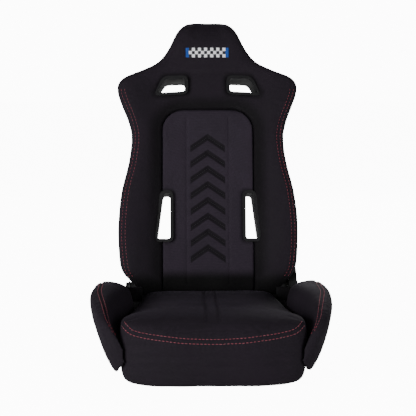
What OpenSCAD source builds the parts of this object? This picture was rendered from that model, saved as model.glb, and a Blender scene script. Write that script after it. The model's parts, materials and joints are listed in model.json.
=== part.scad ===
// Reclining sports bucket seat. +X is the sitter's left, -Y the front, +Z up. Millimetres.
// The origin is the centre of the four base bolt holes, on the plane that the rails stand on.

/* [Base] */
// Overall width across the thigh bolsters
base_w = 590; // [570:1:600]
// Front of the cushion, forward of the origin
cushion_front = 295; // [285:1:300]
// Height of the cushion's front lip
lip_h = 158; // [150:1:165]
// Height of the thigh bolsters
bolster_h = 187; // [182:1:192]

/* [Backrest] */
// Lean of the backrest from the vertical
lean = 13; // [10:0.5:16]
// Length of the backrest along its slope
back_h = 696; // [690:1:700]
// Half width of the backrest at the shoulders
shoulder_half = 236; // [232:1:241]
// Half width of the centre insert
insert_half = 121; // [118:1:122]
// Height of the insert's top edge along the slope
insert_top = 460; // [455:1:465]

/* [Frame] */
// Distance between the base bolt holes, left to right
bolt_dx = 370; // [366:1:374]
// Distance between the base bolt holes, front to rear
bolt_dy = 300; // [280:1:310]
// Radius of the base bolt holes
bolt_r = 4.25; // [4.1:0.05:4.4]
// Radius of the frame tubes
tube_r = 11; // [10:0.5:11]
// Thickness of the recliner's plates
plate_t = 4; // [3:0.5:4]

/* [Recliner] */
// Distance of the recline axis behind the origin
pivot_y = 205; // [203:1:207]
// Height of the recline axis
pivot_z = 140; // [138:1:142]
// Radius of the release shaft
shaft_r = 5; // [4.5:0.1:5]
// Radius of the recliner cover
cover_r = 55; // [53:1:55]
// Number of teeth in the recliner ring
ring_teeth = 48; // [36:1:60]

/* [Hidden] */
$fn = 48;

// The backrest's own frame: its local x is the seat's, local z runs up the slope, local -y faces the sitter.
back_y = 165;
back_z = 150;
// The recline axis seen in the backrest's frame
piv_v = (pivot_y - back_y) * cos(lean) - (pivot_z - back_z) * sin(lean);
piv_u = (pivot_y - back_y) * sin(lean) + (pivot_z - back_z) * cos(lean);

// Frame and recliner planes across the seat
rail_in = bolt_dx / 2 - 15;
rail_out = bolt_dx / 2 + 15;
side_out = rail_out + plate_t;
bracket_out = side_out + plate_t;
arm_in = 186;
arm_out = arm_in + plate_t;
ring_out = arm_out + 9;
run_gap = 0.3;
fit_gap = 0.08;

// ---------- helpers ----------

// Smooth value of a table of [place, value] pairs, by cubic pieces with averaged slopes
function slope(k, i) =
  i <= 0 ? (k[1][1] - k[0][1]) / (k[1][0] - k[0][0])
  : i >= len(k) - 1 ? (k[i][1] - k[i - 1][1]) / (k[i][0] - k[i - 1][0])
  : (k[i + 1][1] - k[i - 1][1]) / (k[i + 1][0] - k[i - 1][0]);
function piece(k, t, i = 0) = i >= len(k) - 2 || t <= k[i + 1][0] ? i : piece(k, t, i + 1);
function smooth(k, t) =
  let (i = piece(k, t), h = k[i + 1][0] - k[i][0], s = min(1, max(0, (t - k[i][0]) / h)))
  k[i][1] * (1 + 2 * s) * (1 - s) * (1 - s) + k[i + 1][1] * s * s * (3 - 2 * s)
  + h * slope(k, i) * s * (1 - s) * (1 - s) + h * slope(k, i + 1) * s * s * (s - 1);

// A closed outline rounded inside its control points, with n points to each corner
function rounded(p, n = 4) = [
  for (i = [0:len(p) - 1], j = [0:n - 1])
    let (t = j / n, a = p[(i + len(p) - 1) % len(p)], b = p[i], c = p[(i + 1) % len(p)])
    (1 - t) * (1 - t) * (a + b) / 2 + 2 * t * (1 - t) * b + t * t * (b + c) / 2];
// The same outline with its corners alone rounded, starting r from each corner
function soft(p, r, n = 4) = [
  for (i = [0:len(p) - 1], j = [0:n])
    let (t = j / n, b = p[i], back = p[(i + len(p) - 1) % len(p)] - b, on = p[(i + 1) % len(p)] - b)
    b + (1 - t) * (1 - t) * back * r / norm(back) + t * t * on * r / norm(on)];
function mirrored(p) = concat(p, [for (i = [len(p) - 1:-1:0]) [-p[i][0], p[i][1]]]);

// Solid skinned over rings of points, all with the same count
module loft(rings) {
  n = len(rings[0]);
  m = len(rings);
  sides = [for (j = [0:m - 2], i = [0:n - 1])
    let (a = j * n + i, b = j * n + (i + 1) % n, c = b + n, d = a + n) each [[a, b, c], [a, c, d]]];
  caps = [[for (i = [n - 1:-1:0]) i], [for (i = [0:n - 1]) (m - 1) * n + i]];
  polyhedron([for (r = rings) each r], concat(sides, caps), convexity = 8);
}

// Turns a 2D shape of (y, z) into a slab between two x
module along_x(x0, x1) {
  translate([x0, 0, 0]) rotate([90, 0, 90]) linear_extrude(x1 - x0) children();
}
// Turns a 2D shape of (x, z) into a slab between two y
module along_y(y0, y1) {
  translate([0, y1, 0]) rotate([90, 0, 0]) linear_extrude(y1 - y0) children();
}
module rod_x(x0, x1, r) { translate([x0, 0, 0]) rotate([0, 90, 0]) cylinder(h = x1 - x0, r = r); }
module at_pivot() { translate([0, pivot_y, pivot_z]) children(); }
module in_back() { translate([0, back_y, back_z]) rotate([-lean, 0, 0]) children(); }

// ---------- base frame ----------

rail_front = -190;
rail_rear = 236;
rail_h = 20;
wall = 3;
bolt_places = [for (x = [-1, 1], y = [-1, 1]) [x * bolt_dx / 2, y * bolt_dy / 2]];

module rail(side) {
  color("dimgray")
    difference() {
      translate([side > 0 ? rail_in : -rail_out, rail_front, 0])
        cube([rail_out - rail_in, rail_rear - rail_front, rail_h]);
      translate([side > 0 ? rail_in + wall : -rail_out + wall, rail_front - 1, wall])
        cube([rail_out - rail_in - 2 * wall, rail_rear - rail_front + 2, rail_h]);
      for (p = bolt_places)
        translate([p[0], p[1], -1]) cylinder(h = wall + 2, r = bolt_r);
    }
}

module side_plate(side) {
  profile = [[-200, 26], [-190, 2], [226, 2], [236, 12], [236, 59], [-190, 59], [-200, 44]];
  color("dimgray")
    along_x(side > 0 ? rail_out : -side_out, side > 0 ? side_out : -rail_out) polygon(profile);
}

front_tube_y = -183;
rear_tube_y = 215;
front_tube_z = 40;
rear_tube_z = 40;
module cross_tube(y, z) {
  color("dimgray")
    translate([0, y, z]) difference() {
      rod_x(-rail_out, rail_out, tube_r);
      rod_x(-rail_out - 1, rail_out + 1, tube_r - 2);
    }
}

module weld_nuts() {
  color("silver")
    for (p = bolt_places)
      translate([p[0], p[1], wall]) difference() {
        cylinder(h = 8, r = 7.5, $fn = 6);
        translate([0, 0, -1]) cylinder(h = 10, r = bolt_r);
      }
}

// One flat-wire sinuous spring along y, from one tube to the other
spring_wire = 3.6;
spring_z = 54;
spring_x = [-114, -38, 38, 114];
function wave(y, y0, y1, n, a) = a * sin(360 * n * (y - y0) / (y1 - y0));
function ribbon(y0, y1, n, a, w, steps) =
  let (line = [for (i = [0:steps]) let (y = y0 + (y1 - y0) * i / steps) [wave(y, y0, y1, n, a), y]],
       tangent = [for (i = [0:steps]) line[min(i + 1, steps)] - line[max(i - 1, 0)]],
       side = [for (t = tangent) [-t[1], t[0]] / norm(t) * w / 2])
  concat([for (i = [0:steps]) line[i] + side[i]], [for (i = [steps:-1:0]) line[i] - side[i]]);

module seat_springs() {
  color("gray")
    for (x = spring_x)
      translate([x, 0, spring_z]) linear_extrude(spring_wire)
        polygon(ribbon(front_tube_y - 5, rear_tube_y + 5, 7, 22, spring_wire, 98));
}

module spring_clips() {
  color("silver")
    for (x = spring_x, t = [[front_tube_y, front_tube_z], [rear_tube_y, rear_tube_z]])
      translate([x, t[0], t[1]]) difference() {
        union() {
          rod_x(-9, 9, tube_r + 2);
          translate([-9, -7, 0]) cube([18, 14, spring_z - t[1]]);
        }
        rod_x(-10, 10, tube_r);
        translate([-10, -20, -20]) cube([20, 40, 20]);
      }
}

module felt_pad() {
  color("#3a3a3c")
    translate([-150, -165, spring_z + spring_wire + 0.2]) cube([300, 355, 3]);
}

// ---------- base upholstery ----------

cushion_rear = 134;
foam_floor = spring_z + spring_wire + 3.6;
// Space kept round the recline axis for the backrest's side wings, and for its middle
wing_sweep_r = 104;
middle_sweep_r = 78;
middle_half = 112;
wing_half = 237;

// Keys along y for the cushion: half width, top, underside
cushion_half = [[-cushion_front, 60], [-290, 115], [-282, 157], [-270, 193], [-256, 210], [-236, 217],
  [-170, 213], [-100, 203], [20, 180], [140, 160]];
cushion_top = [[-cushion_front, 104], [-291, 122], [-283, 136], [-270, 147], [-250, lip_h - 4],
  [-210, lip_h - 1], [-120, 147], [-30, 146], [40, 151], [90, 150], [cushion_rear, 138]];
// Radius of the cushion's lower corners, on its rolled front and behind it
roll_corner = 42;
pan_corner = 2;
cushion_low = [[-cushion_front, 26], [-290, 8], [-280, 3], [-214, 3], [-207, foam_floor], [200, foam_floor]];
cushion_y = [-cushion_front, -291, -286, -279, -270, -260, -250, -236, -220, -214, -207, -180, -145, -110,
  -75, -40, 0, 40, 70, 90, 112, cushion_rear];
function cushion_ring(y) =
  let (w = smooth(cushion_half, y), t = smooth(cushion_top, y), b = lookup(y, cushion_low),
       c = y < -210 ? roll_corner : pan_corner)
  [for (p = rounded(mirrored([[w * 0.5, b], [w - c, b], [w - c * 0.2, b + c * 0.22], [w, b + (t - b) * 0.4],
      [w - 1, t - 12], [w - 16, t], [w * 0.6, t + 2], [w * 0.25, t + 1]]), 2)) [p[0], y, p[1]]];

module cushion() {
  color("#1b1a1e")
    resize([0, 0, 0]) difference() {
      loft([for (y = cushion_y) cushion_ring(y)]);
      at_pivot() rod_x(-250, 250, middle_sweep_r);
      for (s = [0, 1]) mirror([s, 0, 0]) at_pivot() rod_x(middle_half, 250, wing_sweep_r);
    }
}

// Keys along y for the thigh bolster: outer half width, top, underside, inner foot
bolster_out = [[-270, 234], [-262, 248], [-240, 264], [-200, 276], [-130, 289], [-60, base_w / 2],
  [20, 291], [90, 279], [120, 268], [134, 258]];
bolster_top = [[-270, 120], [-262, 140], [-240, 158], [-200, 172], [-140, 182], [-70, bolster_h],
  [0, bolster_h - 1], [70, 182], [110, 172], [134, 156]];
bolster_low = [[-270, 56], [-262, 42], [-240, 26], [-150, 16], [-60, 50], [10, 98], [80, 120], [134, 134]];
bolster_in = [[-270, 200], [-256, 211], [-236, 218], [-170, 214], [-100, 204], [0, 186], [50, 202],
  [90, 232], [134, 239]];
bolster_slope = [[-270, 0.5], [-200, 0.42], [-120, 0.3], [0, 0.14], [134, 0.12]];
bolster_y = [-270, -267, -262, -252, -240, -222, -200, -175, -150, -120, -90, -60, -30, 0, 30, 60, 85, 108,
  122, 130, 134];
function bolster_ring(y) =
  let (o = smooth(bolster_out, y), t = smooth(bolster_top, y), b = smooth(bolster_low, y),
       i = smooth(bolster_in, y), q = smooth(bolster_slope, y), h = t - b,
       base_in = y < -225 ? i : max(i, bracket_out + 2), w = o - base_in,
       foot = max(b + 4, min(foam_floor, t - 24)))
  [for (p = rounded([[base_in, b], [base_in + 0.12 * w, b], [o - 0.68 * w, b + h * 0.1],
      [o - 0.42 * w, b + h * 0.3], [o - 0.16 * w, b + h * 0.6], [o, b + h * 0.82], [o - 0.08 * w, t - 3],
      [o - 0.32 * (o - i), t], [i + q * (o - i), t - 2 - h * 0.1 * q], [i + 3, foot + (t - foot) * 0.5],
      [i, foot + 2], [base_in, foot]], 3)) [p[0], y, p[1]]];

module bolster(side) {
  color("#17161a")
    mirror([side > 0 ? 0 : 1, 0, 0]) resize([0, 0, 0]) difference() {
      loft([for (y = bolster_y) bolster_ring(y)]);
      at_pivot() rod_x(0, wing_half, wing_sweep_r + 12);
      along_x(-1, bracket_out + 1) polygon([[-225, -10], [-225, foam_floor], [260, foam_floor], [260, -10]]);
      linear_extrude(400) polygon([[0, cushion_rear], [0, -300],
        each [for (k = cushion_half) [k[1] + 0.6, k[0]]]]);
    }
}

// Plastic valance along each side plate
module side_trim(side) {
  color("#101012")
    along_x(side > 0 ? side_out : -side_out - 4.5, side > 0 ? side_out + 4.5 : -side_out)
      polygon(soft([[-196, 6], [108, 6], [108, 58], [-120, 58], [-196, 40]], 7, 4));
}

// ---------- fixed recliner parts ----------

bracket_r = 36;
bracket_foot = [[118, 8], [234, 8], [236, 60]];
bracket_right_profile = soft(concat(bracket_foot, [[234, 118], [205, 140], [172, 112], [136, 66],
  [114, 50]]), 8);
bracket_left_profile = soft(concat(bracket_foot, [[219, 130], [191, 130], [172, 104], [136, 66],
  [114, 50]]), 8);
bracket_bolt_places = [[135, 30], [210, 24], [215, 52]];

module bracket(side) {
  left = side < 0;
  x0 = left ? -bracket_out : side_out;
  color("#4a4b50")
    difference() {
      union() {
        along_x(x0, x0 + plate_t) polygon(left ? bracket_left_profile : bracket_right_profile);
        at_pivot() rod_x(x0, x0 + plate_t, left ? 14 : bracket_r);
      }
      at_pivot() rod_x(-230, 230, (left ? 6 : shaft_r) + fit_gap);
      if (!left) at_pivot() cover_screw_places() rod_x(bracket_out - 3, bracket_out + 1, 2.55);
    }
}

module bracket_bolts() {
  color("silver")
    for (s = [-1, 1], p = bracket_bolt_places)
      translate([s * bracket_out, p[0], p[1]]) rotate([0, s * 90, 0]) {
        cylinder(h = 1.5, r = 9);
        translate([0, 0, 1.5]) cylinder(h = 5.5, r = 7, $fn = 6);
      }
}

// The recliner's fixed half: a disc with two guide blocks that the pawls slide between
guide_r = 35;
pocket_r = 30;
block_r = 27;
pawl_half = 10;
pawl_gap = 0.3;
module recliner_guide() {
  color("silver")
    at_pivot() difference() {
      union() {
        rod_x(ring_out + run_gap, side_out, guide_r);
        intersection() {
          rod_x(arm_out + 3.4, ring_out + run_gap, block_r);
          union() {
            translate([arm_out, pawl_half, -40]) cube([20, 40, 80]);
            translate([arm_out, -40 - pawl_half, -40]) cube([20, 40, 80]);
          }
        }
      }
      rod_x(arm_out, bracket_out, shaft_r + fit_gap);
      rod_x(arm_out, ring_out + run_gap, 14);
    }
}

module spring_hub() {
  color("silver")
    at_pivot() difference() {
      rod_x(bracket_out, bracket_out + 11, 11);
      rod_x(bracket_out - 1, bracket_out + 12, shaft_r + fit_gap);
      translate([bracket_out + 2, 2, -1.2]) cube([12, 12, 2.4]);
    }
}

// Clock spring from the slotted hub to the peg on the moving arm
spring_x0 = bracket_out + 2.5;
spring_w = 7;
spring_strip = 1.6;
peg_r = 3.5;
peg_reach = 43;
peg_angle = 62;
spiral_turns = 3;
function spiral_r(a) = 12 + (peg_reach - peg_r - spring_strip - 13.4) * a / (360 * spiral_turns + peg_angle);
module spiral_spring() {
  last = 360 * spiral_turns + peg_angle;
  steps = 72;
  line = [for (i = [0:steps]) let (a = last * i / steps) spiral_r(a) * [cos(a), sin(a)]];
  outer = [for (i = [steps:-1:0]) let (a = last * i / steps) (spiral_r(a) + spring_strip) * [cos(a),
    sin(a)]];
  color("#5a5a60")
    at_pivot() along_x(spring_x0, spring_x0 + spring_w) {
      polygon(concat(line, outer));
      translate([6.5, -0.8]) square([spiral_r(0) - 6.5 + 0.8, 1.6]);
    }
}

cover_out = bracket_out + 22;
cover_wall = 2.5;
module recliner_cover() {
  color("#141416")
    difference() {
      at_pivot() difference() {
        union() {
          rod_x(bracket_out + 0.2, cover_out - 3, cover_r);
          translate([cover_out - 3, 0, 0]) rotate([0, 90, 0]) cylinder(h = 3, r1 = cover_r,
            r2 = cover_r - 4);
        }
        rod_x(bracket_out - 1, cover_out - cover_wall, cover_r - cover_wall - 2);
        rod_x(bracket_out, cover_out + 1, shaft_r + 0.6);
        cover_screw_places() rod_x(cover_out - 5, cover_out + 1, 2.55);
      }
    }
}

cover_screw_angles = [250, 305];
module cover_screw_places() {
  for (a = cover_screw_angles) rotate([a, 0, 0]) translate([0, cover_r - 16, 0]) children();
}
module cover_screws() {
  color("silver")
    at_pivot() cover_screw_places() {
      rod_x(bracket_out - 3, cover_out, 2.5);
      rod_x(cover_out, cover_out + 1, 5);
    }
}

module pivot_bolt() {
  color("silver")
    at_pivot() {
      rod_x(-bracket_out, -arm_in, 6);
      rod_x(-arm_in, -arm_in + 6, 10);
      rod_x(-bracket_out - 5, -bracket_out, 9);
    }
}
module pivot_bush() {
  color("tan")
    at_pivot() difference() {
      rod_x(-side_out, -arm_out - run_gap, 12);
      rod_x(-side_out - 1, -arm_out, 6.05);
    }
}
module pivot_cap() {
  color("#141416")
    at_pivot() difference() {
      union() {
        rod_x(-bracket_out - 6, -bracket_out, 11);
        rod_x(-bracket_out - 7.5, -bracket_out - 6, 9);
      }
      rod_x(-bracket_out - 5.2, -bracket_out + 1, 9.2);
    }
}

// ---------- release lever ----------

lever_angle = 220;
lever_x0 = cover_out + 2;
lever_travel = 18;
module on_lever() { at_pivot() rotate([lever_angle, 0, 0]) children(); }
module release_shaft() {
  color("silver")
    at_pivot() {
      rod_x(arm_in - 3, lever_x0 + 4, shaft_r);
      rod_x(lever_x0 + 4, lever_x0 + 7, 4);
    }
}
module release_cam() {
  color("#8a8b90")
    at_pivot() difference() {
      along_x(arm_out + 3.6, ring_out - 0.2)
        polygon(rounded([[-5, -9], [5, -9], [8, -4], [8, 4], [5, 9], [-5, 9], [-8, 4], [-8, -4]], 4));
      rod_x(arm_out, ring_out + 1, shaft_r);
    }
}
lever_outline = rounded([[-14, -14], [20, -13], [60, -8], [118, -7], [118, 7], [60, 8], [20, 13],
  [-14, 14]], 4);
module lever_plate() {
  color("#2a2a2d")
    on_lever() difference() {
      along_x(lever_x0, lever_x0 + 4) polygon(lever_outline);
      rod_x(lever_x0 - 1, lever_x0 + 5, shaft_r);
    }
}
grip_keys = [[58, 9, 3], [62, 11, 5.4], [80, 12, 6.4], [105, 11.6, 6], [126, 13, 6.6], [133, 11, 5],
  [135, 8, 3]];
module lever_grip() {
  color("#101012")
    on_lever() resize([0, 0, 0]) difference() {
      translate([lever_x0 + 2, 0, 0]) loft([for (k = grip_keys)
        [for (a = [0:15:345]) [k[2] * sign(cos(a)) * pow(abs(cos(a)), 0.7), k[0], k[1] * sin(a)]]]);
      along_x(lever_x0, lever_x0 + 4)
        polygon(lever_outline);
    }
}
module lever_clip() {
  color("silver")
    at_pivot() difference() {
      rod_x(lever_x0 + 4, lever_x0 + 5, 8);
      rod_x(lever_x0 + 3, lever_x0 + 6, 4);
    }
}

// Pawls in the disc: they are drawn just clear of the ring's teeth, so the backrest can be posed alone
pawl_travel = 2.2;
tooth_h = 2;
module pawl(up) {
  tip = pocket_r - tooth_h - 0.5;
  color("#9a9ba0")
    at_pivot() along_x(arm_out + 3.8, ring_out - 0.3) mirror([0, up ? 0 : 1])
      polygon(concat([[-pawl_half + pawl_gap, 12], [pawl_half - pawl_gap, 12]],
        [for (i = [4:-1:-4]) each [[tip * sin(i * 4 + 1.2), tip * cos(i * 4 + 1.2) - 1.2],
          [tip * sin(i * 4), tip * cos(i * 4)]]]));
}

// ---------- backrest ----------

outline = [[-30, 176], [-22, 185], [-6, 195], [10, 206], [28, 221], [50, 229], [140, 235], [240, 226],
  [320, 207], [385, 200], [430, 209], [475, 227], [502, shoulder_half], [526, shoulder_half], [545, 219],
  [564, 173], [587, 131], [620, 104], [662, 83], [682, 68], [692, 53], [back_h, 36]];
crest = [[-30, 6], [-24, 17], [-8, 30], [14, 42], [36, 50], [80, 56], [240, 56], [380, 50], [470, 46],
  [530, 40], [590, 24], [640, 28], [676, 22], [back_h, -4]];
front = [[-30, 2], [-24, 12], [-8, 20], [24, 22], [480, 24], [540, 22], [600, 22], [650, 26], [680, 16],
  [back_h, -6]];
rear = [[-30, 2], [-24, 12], [-10, 18], [560, 18], [640, 18], [680, 18], [back_h, 14]];
stations_u = [-30, -28, -24, -18, -8, 4, 14, 22, 32, 45, 65, 95, 140, 190, 240, 290, 340, 385, 420, 450,
  475, 495, 512, 530, 545, 558, 570, 582, 595, 610, 630, 650, 666, 678, 687, 693, back_h];
insert_corner = 58;
recess = 2;
insert_front = 24;

function back_ring(u) =
  let (w = smooth(outline, u), k = smooth(crest, u), f = smooth(front, u), b = smooth(rear, u),
       m = w - 0.26 * w)
  [for (p = rounded(mirrored([[w * 0.5, b], [w - 14, b], [w, b * 0.4], [w, -k * 0.5], [w - 9, -k],
      [w - 40, -k], [m * 0.86, -f - (k - f) * 0.35], [m * 0.6, -f], [m * 0.25, -f]]), 2))
    [p[0], p[1], u]];

// Harness slots: their corners, grown by m
function shoulder_slot(m) = [[58 - m, 505 - m], [133 + m, 501 - m], [109 + m, 538 + m], [58 - m, 540 + m]];
waist_low = 119.5;
waist_high = 237.5;
function waist_slot(m) = [[98 - m, waist_low - m], [132 + m, waist_low - m], [116 + m, waist_high + m],
  [98 - m, waist_high + m]];
module both_sides() {
  children();
  mirror([1, 0, 0]) children();
}
module slot_prisms(m, y0, y1) {
  both_sides() along_y(y0, y1) {
    polygon(soft(shoulder_slot(m), 9 + m));
    polygon(soft(waist_slot(m), 7 + m));
  }
}
bezel_wall = 3;
bezel_cut = bezel_wall + 0.3;
lip = 5;
lip_seat = 20.1;

// The insert runs down over the rolled lower edge
insert_foot = -40;
function insert_outline(g) = concat([[insert_half + g, insert_foot], [-insert_half - g, insert_foot]],
  [for (a = [0:10:90]) [-insert_half - g + insert_corner - insert_corner * cos(a),
    insert_top + g - insert_corner + insert_corner * sin(a)]],
  [for (a = [90:-10:0]) [insert_half + g - insert_corner + insert_corner * cos(a),
    insert_top + g - insert_corner + insert_corner * sin(a)]]);

module back_foam() { loft([for (u = stations_u) back_ring(u)]); }
module backrest_cover() {
  color("#17161a")
    in_back() resize([0, 0, 0]) difference() {
      back_foam();
      along_y(-80, -recess) polygon(insert_outline(0.4));
      slot_prisms(bezel_cut, -90, 90);
      slot_prisms(bezel_cut + lip, -90, -lip_seat);
      trim_round_pivot(cover_r + 7);
    }
}
module trim_round_pivot(r) {
  for (s = [-1, 1]) translate([s > 0 ? 182 : -300, piv_v, piv_u]) rod_x(0, 118, r);
}

module backrest_insert() {
  color("#26252b")
    in_back() resize([0, 0, 0]) difference() {
      intersection() {
        back_foam();
        along_y(-insert_front, -recess - 0.3) polygon(insert_outline(-0.4));
      }
      slot_prisms(bezel_cut, -90, 90);
      slot_prisms(bezel_cut + lip, -90, -lip_seat);
    }
}

upright_x = arm_in - tube_r;
upright_v = 34;
upright_low = 12;
upright_high = 400;
module upright(side) {
  color("dimgray")
    in_back() translate([side * upright_x, upright_v, upright_low]) difference() {
      cylinder(h = upright_high - upright_low, r = tube_r);
      translate([0, 0, -1]) cylinder(h = upright_high, r = tube_r - 2);
    }
}
// Tube that carries on from the uprights, over the head area
hoop_path = [[upright_x, 400], [upright_x, 440], [166, 476], [144, 556], [70, 586], [54, 622], [32, 640],
  [0, 642]];
function hoop_line(n) =
  let (c = concat([for (i = [0:len(hoop_path) - 2]) each i == 0 ? [hoop_path[0]] :
      [for (j = [0:n - 1]) let (t = j / n, a = (hoop_path[i - 1] + hoop_path[i]) / 2, b = hoop_path[i],
          d = (hoop_path[i] + hoop_path[i + 1]) / 2)
        (1 - t) * (1 - t) * (i == 1 ? hoop_path[0] : a) + 2 * t * (1 - t) * b + t * t * d]],
      [[0, 642]]))
  concat(c, [for (i = [len(c) - 2:-1:0]) [-c[i][0], c[i][1]]]);
module head_hoop() {
  line = hoop_line(4);
  n = len(line);
  color("dimgray")
    in_back() translate([0, upright_v, 0]) loft([for (i = [0:n - 1])
      let (d = i == 0 ? [0, 1] : i == n - 1 ? [0, -1] : line[i + 1] - line[i - 1], t = d / norm(d))
      [for (a = [0:30:330]) [line[i][0] + tube_r * cos(a) * -t[1], tube_r * sin(a),
        line[i][1] + tube_r * cos(a) * t[0]]]]);
}
lower_tube_u = 30;
lower_tube_r = 9;
module lower_tube() {
  color("dimgray")
    in_back() translate([0, upright_v, lower_tube_u])
      difference() {
        rod_x(-upright_x + tube_r, upright_x - tube_r, lower_tube_r);
        rod_x(-upright_x, upright_x, lower_tube_r - 2);
      }
}

// Lower cover: a trough round the recline axis that closes the gap under the backrest and turns with it
apron_half = 203.5;
apron_r = 65.5;
apron_wall = 3;
apron_from = 203;
apron_to = 290;
apron_webs = [-120, 0, 120];
function arc(r, a0, a1, n = 20) = [for (i = [0:n]) let (a = a0 + (a1 - a0) * i / n) r * [cos(a), sin(a)]];
module back_apron() {
  inner = apron_r - apron_wall;
  color("#101012")
    in_back() difference() {
      translate([0, piv_v, piv_u]) {
        along_x(-apron_half, apron_half)
          polygon(concat(arc(apron_r, apron_from, apron_to), arc(inner, apron_to, apron_from)));
        for (x = apron_webs) along_x(x - 2, x + 2)
          polygon([[-18, -inner + 1.5], [4, -inner - 1], [4, lower_tube_u - piv_u],
            [-18, lower_tube_u - piv_u]]);
      }
      translate([0, upright_v, lower_tube_u]) rod_x(-upright_x, upright_x, lower_tube_r + fit_gap);
    }
}

back_spring_u = [90, 285, 345, 405];
back_spring_span = upright_x - tube_r - 1.75;
module back_springs() {
  color("gray")
    in_back() for (u = back_spring_u)
      along_y(upright_v - 2, upright_v + 1.6)
        translate([0, u]) rotate(-90) polygon(ribbon(-back_spring_span, back_spring_span, 7, 20,
          spring_wire, 112));
}

arm_profile = rounded([[piv_v - 38, piv_u - 10], [piv_v - 8, piv_u - 42], [piv_v + 36, piv_u - 24],
  [piv_v + 34, piv_u + 34], [upright_v + 16, 60], [upright_v + 14, 128], [upright_v - 14, 128],
  [upright_v - 13, 58], [piv_v - 38, piv_u + 26]], 5);
module arm(side) {
  color("#4a4b50")
    in_back() difference() {
      along_x(side > 0 ? arm_in : -arm_out, side > 0 ? arm_out : -arm_in) polygon(arm_profile);
      translate([0, piv_v, piv_u]) rod_x(-230, 230, side > 0 ? shaft_r + fit_gap : 6 + fit_gap);
    }
}
module arm_bolts() {
  color("silver")
    in_back() for (s = [-1, 1], u = [72, 108])
      translate([s * arm_out, upright_v, u]) rotate([0, s * 90, 0]) {
        cylinder(h = 1.5, r = 9);
        translate([0, 0, 1.5]) cylinder(h = 5, r = 7, $fn = 6);
      }
}
module recliner_ring() {
  color("#8a8b90")
    at_pivot() difference() {
      rod_x(arm_out, ring_out, guide_r + 1);
      rod_x(arm_out + 3, ring_out + 1, pocket_r - tooth_h);
      along_x(arm_out + 3, ring_out + 1) polygon([for (i = [0:ring_teeth - 1], s = [0, 1])
        let (a = (i + s / 2) * 360 / ring_teeth, r = s == 0 ? pocket_r : pocket_r - tooth_h - 0.1)
        [r * cos(a), r * sin(a)]]);
      rod_x(arm_out - 1, ring_out, shaft_r + fit_gap);
    }
}
module spring_peg() {
  color("silver")
    at_pivot() rotate([peg_angle, 0, 0]) translate([0, peg_reach, 0]) {
      rod_x(arm_out, spring_x0 + spring_w, peg_r);
      rod_x(spring_x0 + spring_w, spring_x0 + spring_w + 1.5, 5);
    }
}

// Rear shell: an open tray behind the foam, rounded over at its back
shell_rear = 64;
shell_front = 18.4;
shell_wall = 3;
shell_depth = [[18, 56], [60, 63], [100, shell_rear], [300, shell_rear], [560, shell_rear],
  [600, shell_rear], [640, 59], [670, 48], [686, 34]];
shell_u = [18, 32, 45, 65, 95, 140, 190, 240, 290, 340, 385, 420, 450, 475, 495, 512, 530, 545, 558, 570,
  582, 595, 610, 630, 650, 666, 678, 686];
function shell_ring(u, g, v0) =
  let (w = smooth(outline, u) - 9 - g, d = smooth(shell_depth, u) - g)
  [for (p = mirrored([[w * 0.3, d], [w - 26, d], [w - 15, d * 0.96], [w - 7, d * 0.86], [w - 2, d * 0.72],
      [w, d * 0.55], [w, v0]])) [p[0], p[1], u]];
module back_shell() {
  color("#121214")
    in_back() resize([0, 0, 0]) difference() {
      loft([for (u = shell_u) shell_ring(u, 0, shell_front)]);
      loft([for (u = shell_u) shell_ring(u == shell_u[0] ? u - 8 : min(u, 686 - shell_wall), shell_wall,
        shell_front - 2)]);
      slot_prisms(bezel_cut, -90, 90);
      trim_round_pivot(cover_r + 7);
    }
}
shell_screw_places = [[150, 100], [170, 300], [186, 500], [44, 596]];
module shell_screws() {
  color("#303034")
    in_back() both_sides() for (p = shell_screw_places)
      translate([p[0], smooth(shell_depth, p[1]) + 0.2, p[1]]) rotate([-90, 0, 0]) {
        cylinder(h = 1.5, r = 7);
        translate([0, 0, 1.5]) cylinder(h = 1, r = 5);
      }
}

bezel_face = 28;
bezel_join = 25;
module bezel(kind) {
  color("#0e0e10")
    in_back() difference() {
      union() {
        along_y(-bezel_face, bezel_join) slot_shape(kind, bezel_wall);
        along_y(-bezel_face, -lip_seat - 0.1) slot_shape(kind, bezel_wall + lip);
      }
      along_y(-90, 90) slot_shape(kind, 0);
    }
}
module slot_shape(kind, m) {
  if (kind == "shoulder") polygon(soft(shoulder_slot(m), 9 + m));
  else polygon(soft(waist_slot(m), 7 + m));
}
module rear_bezels() {
  color("#0e0e10")
    in_back() both_sides() for (kind = ["shoulder", "waist"])
      difference() {
        union() {
          along_y(bezel_join + 0.2, shell_rear + 3.4) slot_shape(kind, bezel_wall);
          along_y(shell_rear + 0.6, shell_rear + 3.4) slot_shape(kind, bezel_wall + 7);
        }
        along_y(-90, 90) slot_shape(kind, 0);
      }
}

patch_u = 608;
patch_w = 112;
patch_h = 26;
module emblem_patch() {
  color("gainsboro")
    in_back() translate([-patch_w / 2, -26.4, patch_u - patch_h / 2]) cube([patch_w, 1.4, patch_h]);
}

rail(-1);  // rail_left
rail(1);  // rail_right
side_plate(-1);  // side_plate_left
side_plate(1);  // side_plate_right
cross_tube(front_tube_y, front_tube_z);  // front_tube
cross_tube(rear_tube_y, rear_tube_z);  // rear_tube
weld_nuts();
seat_springs();
spring_clips();
felt_pad();
cushion();  // seat_cushion
bolster(-1);  // bolster_left
bolster(1);  // bolster_right
side_trim(-1);  // side_trim_left
side_trim(1);  // side_trim_right
bracket(-1);  // bracket_left
bracket(1);  // bracket_right
bracket_bolts();
recliner_guide();
spring_hub();
spiral_spring();
recliner_cover();
cover_screws();
pivot_bolt();
pivot_bush();
pivot_cap();
release_shaft();
release_cam();
lever_plate();
lever_grip();
lever_clip();
pawl(true);  // pawl_upper
pawl(false);  // pawl_lower
backrest_cover();
backrest_insert();
upright(-1);  // upright_left
upright(1);  // upright_right
head_hoop();
lower_tube();
back_apron();
back_springs();
arm(-1);  // arm_left
arm(1);  // arm_right
arm_bolts();
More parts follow.
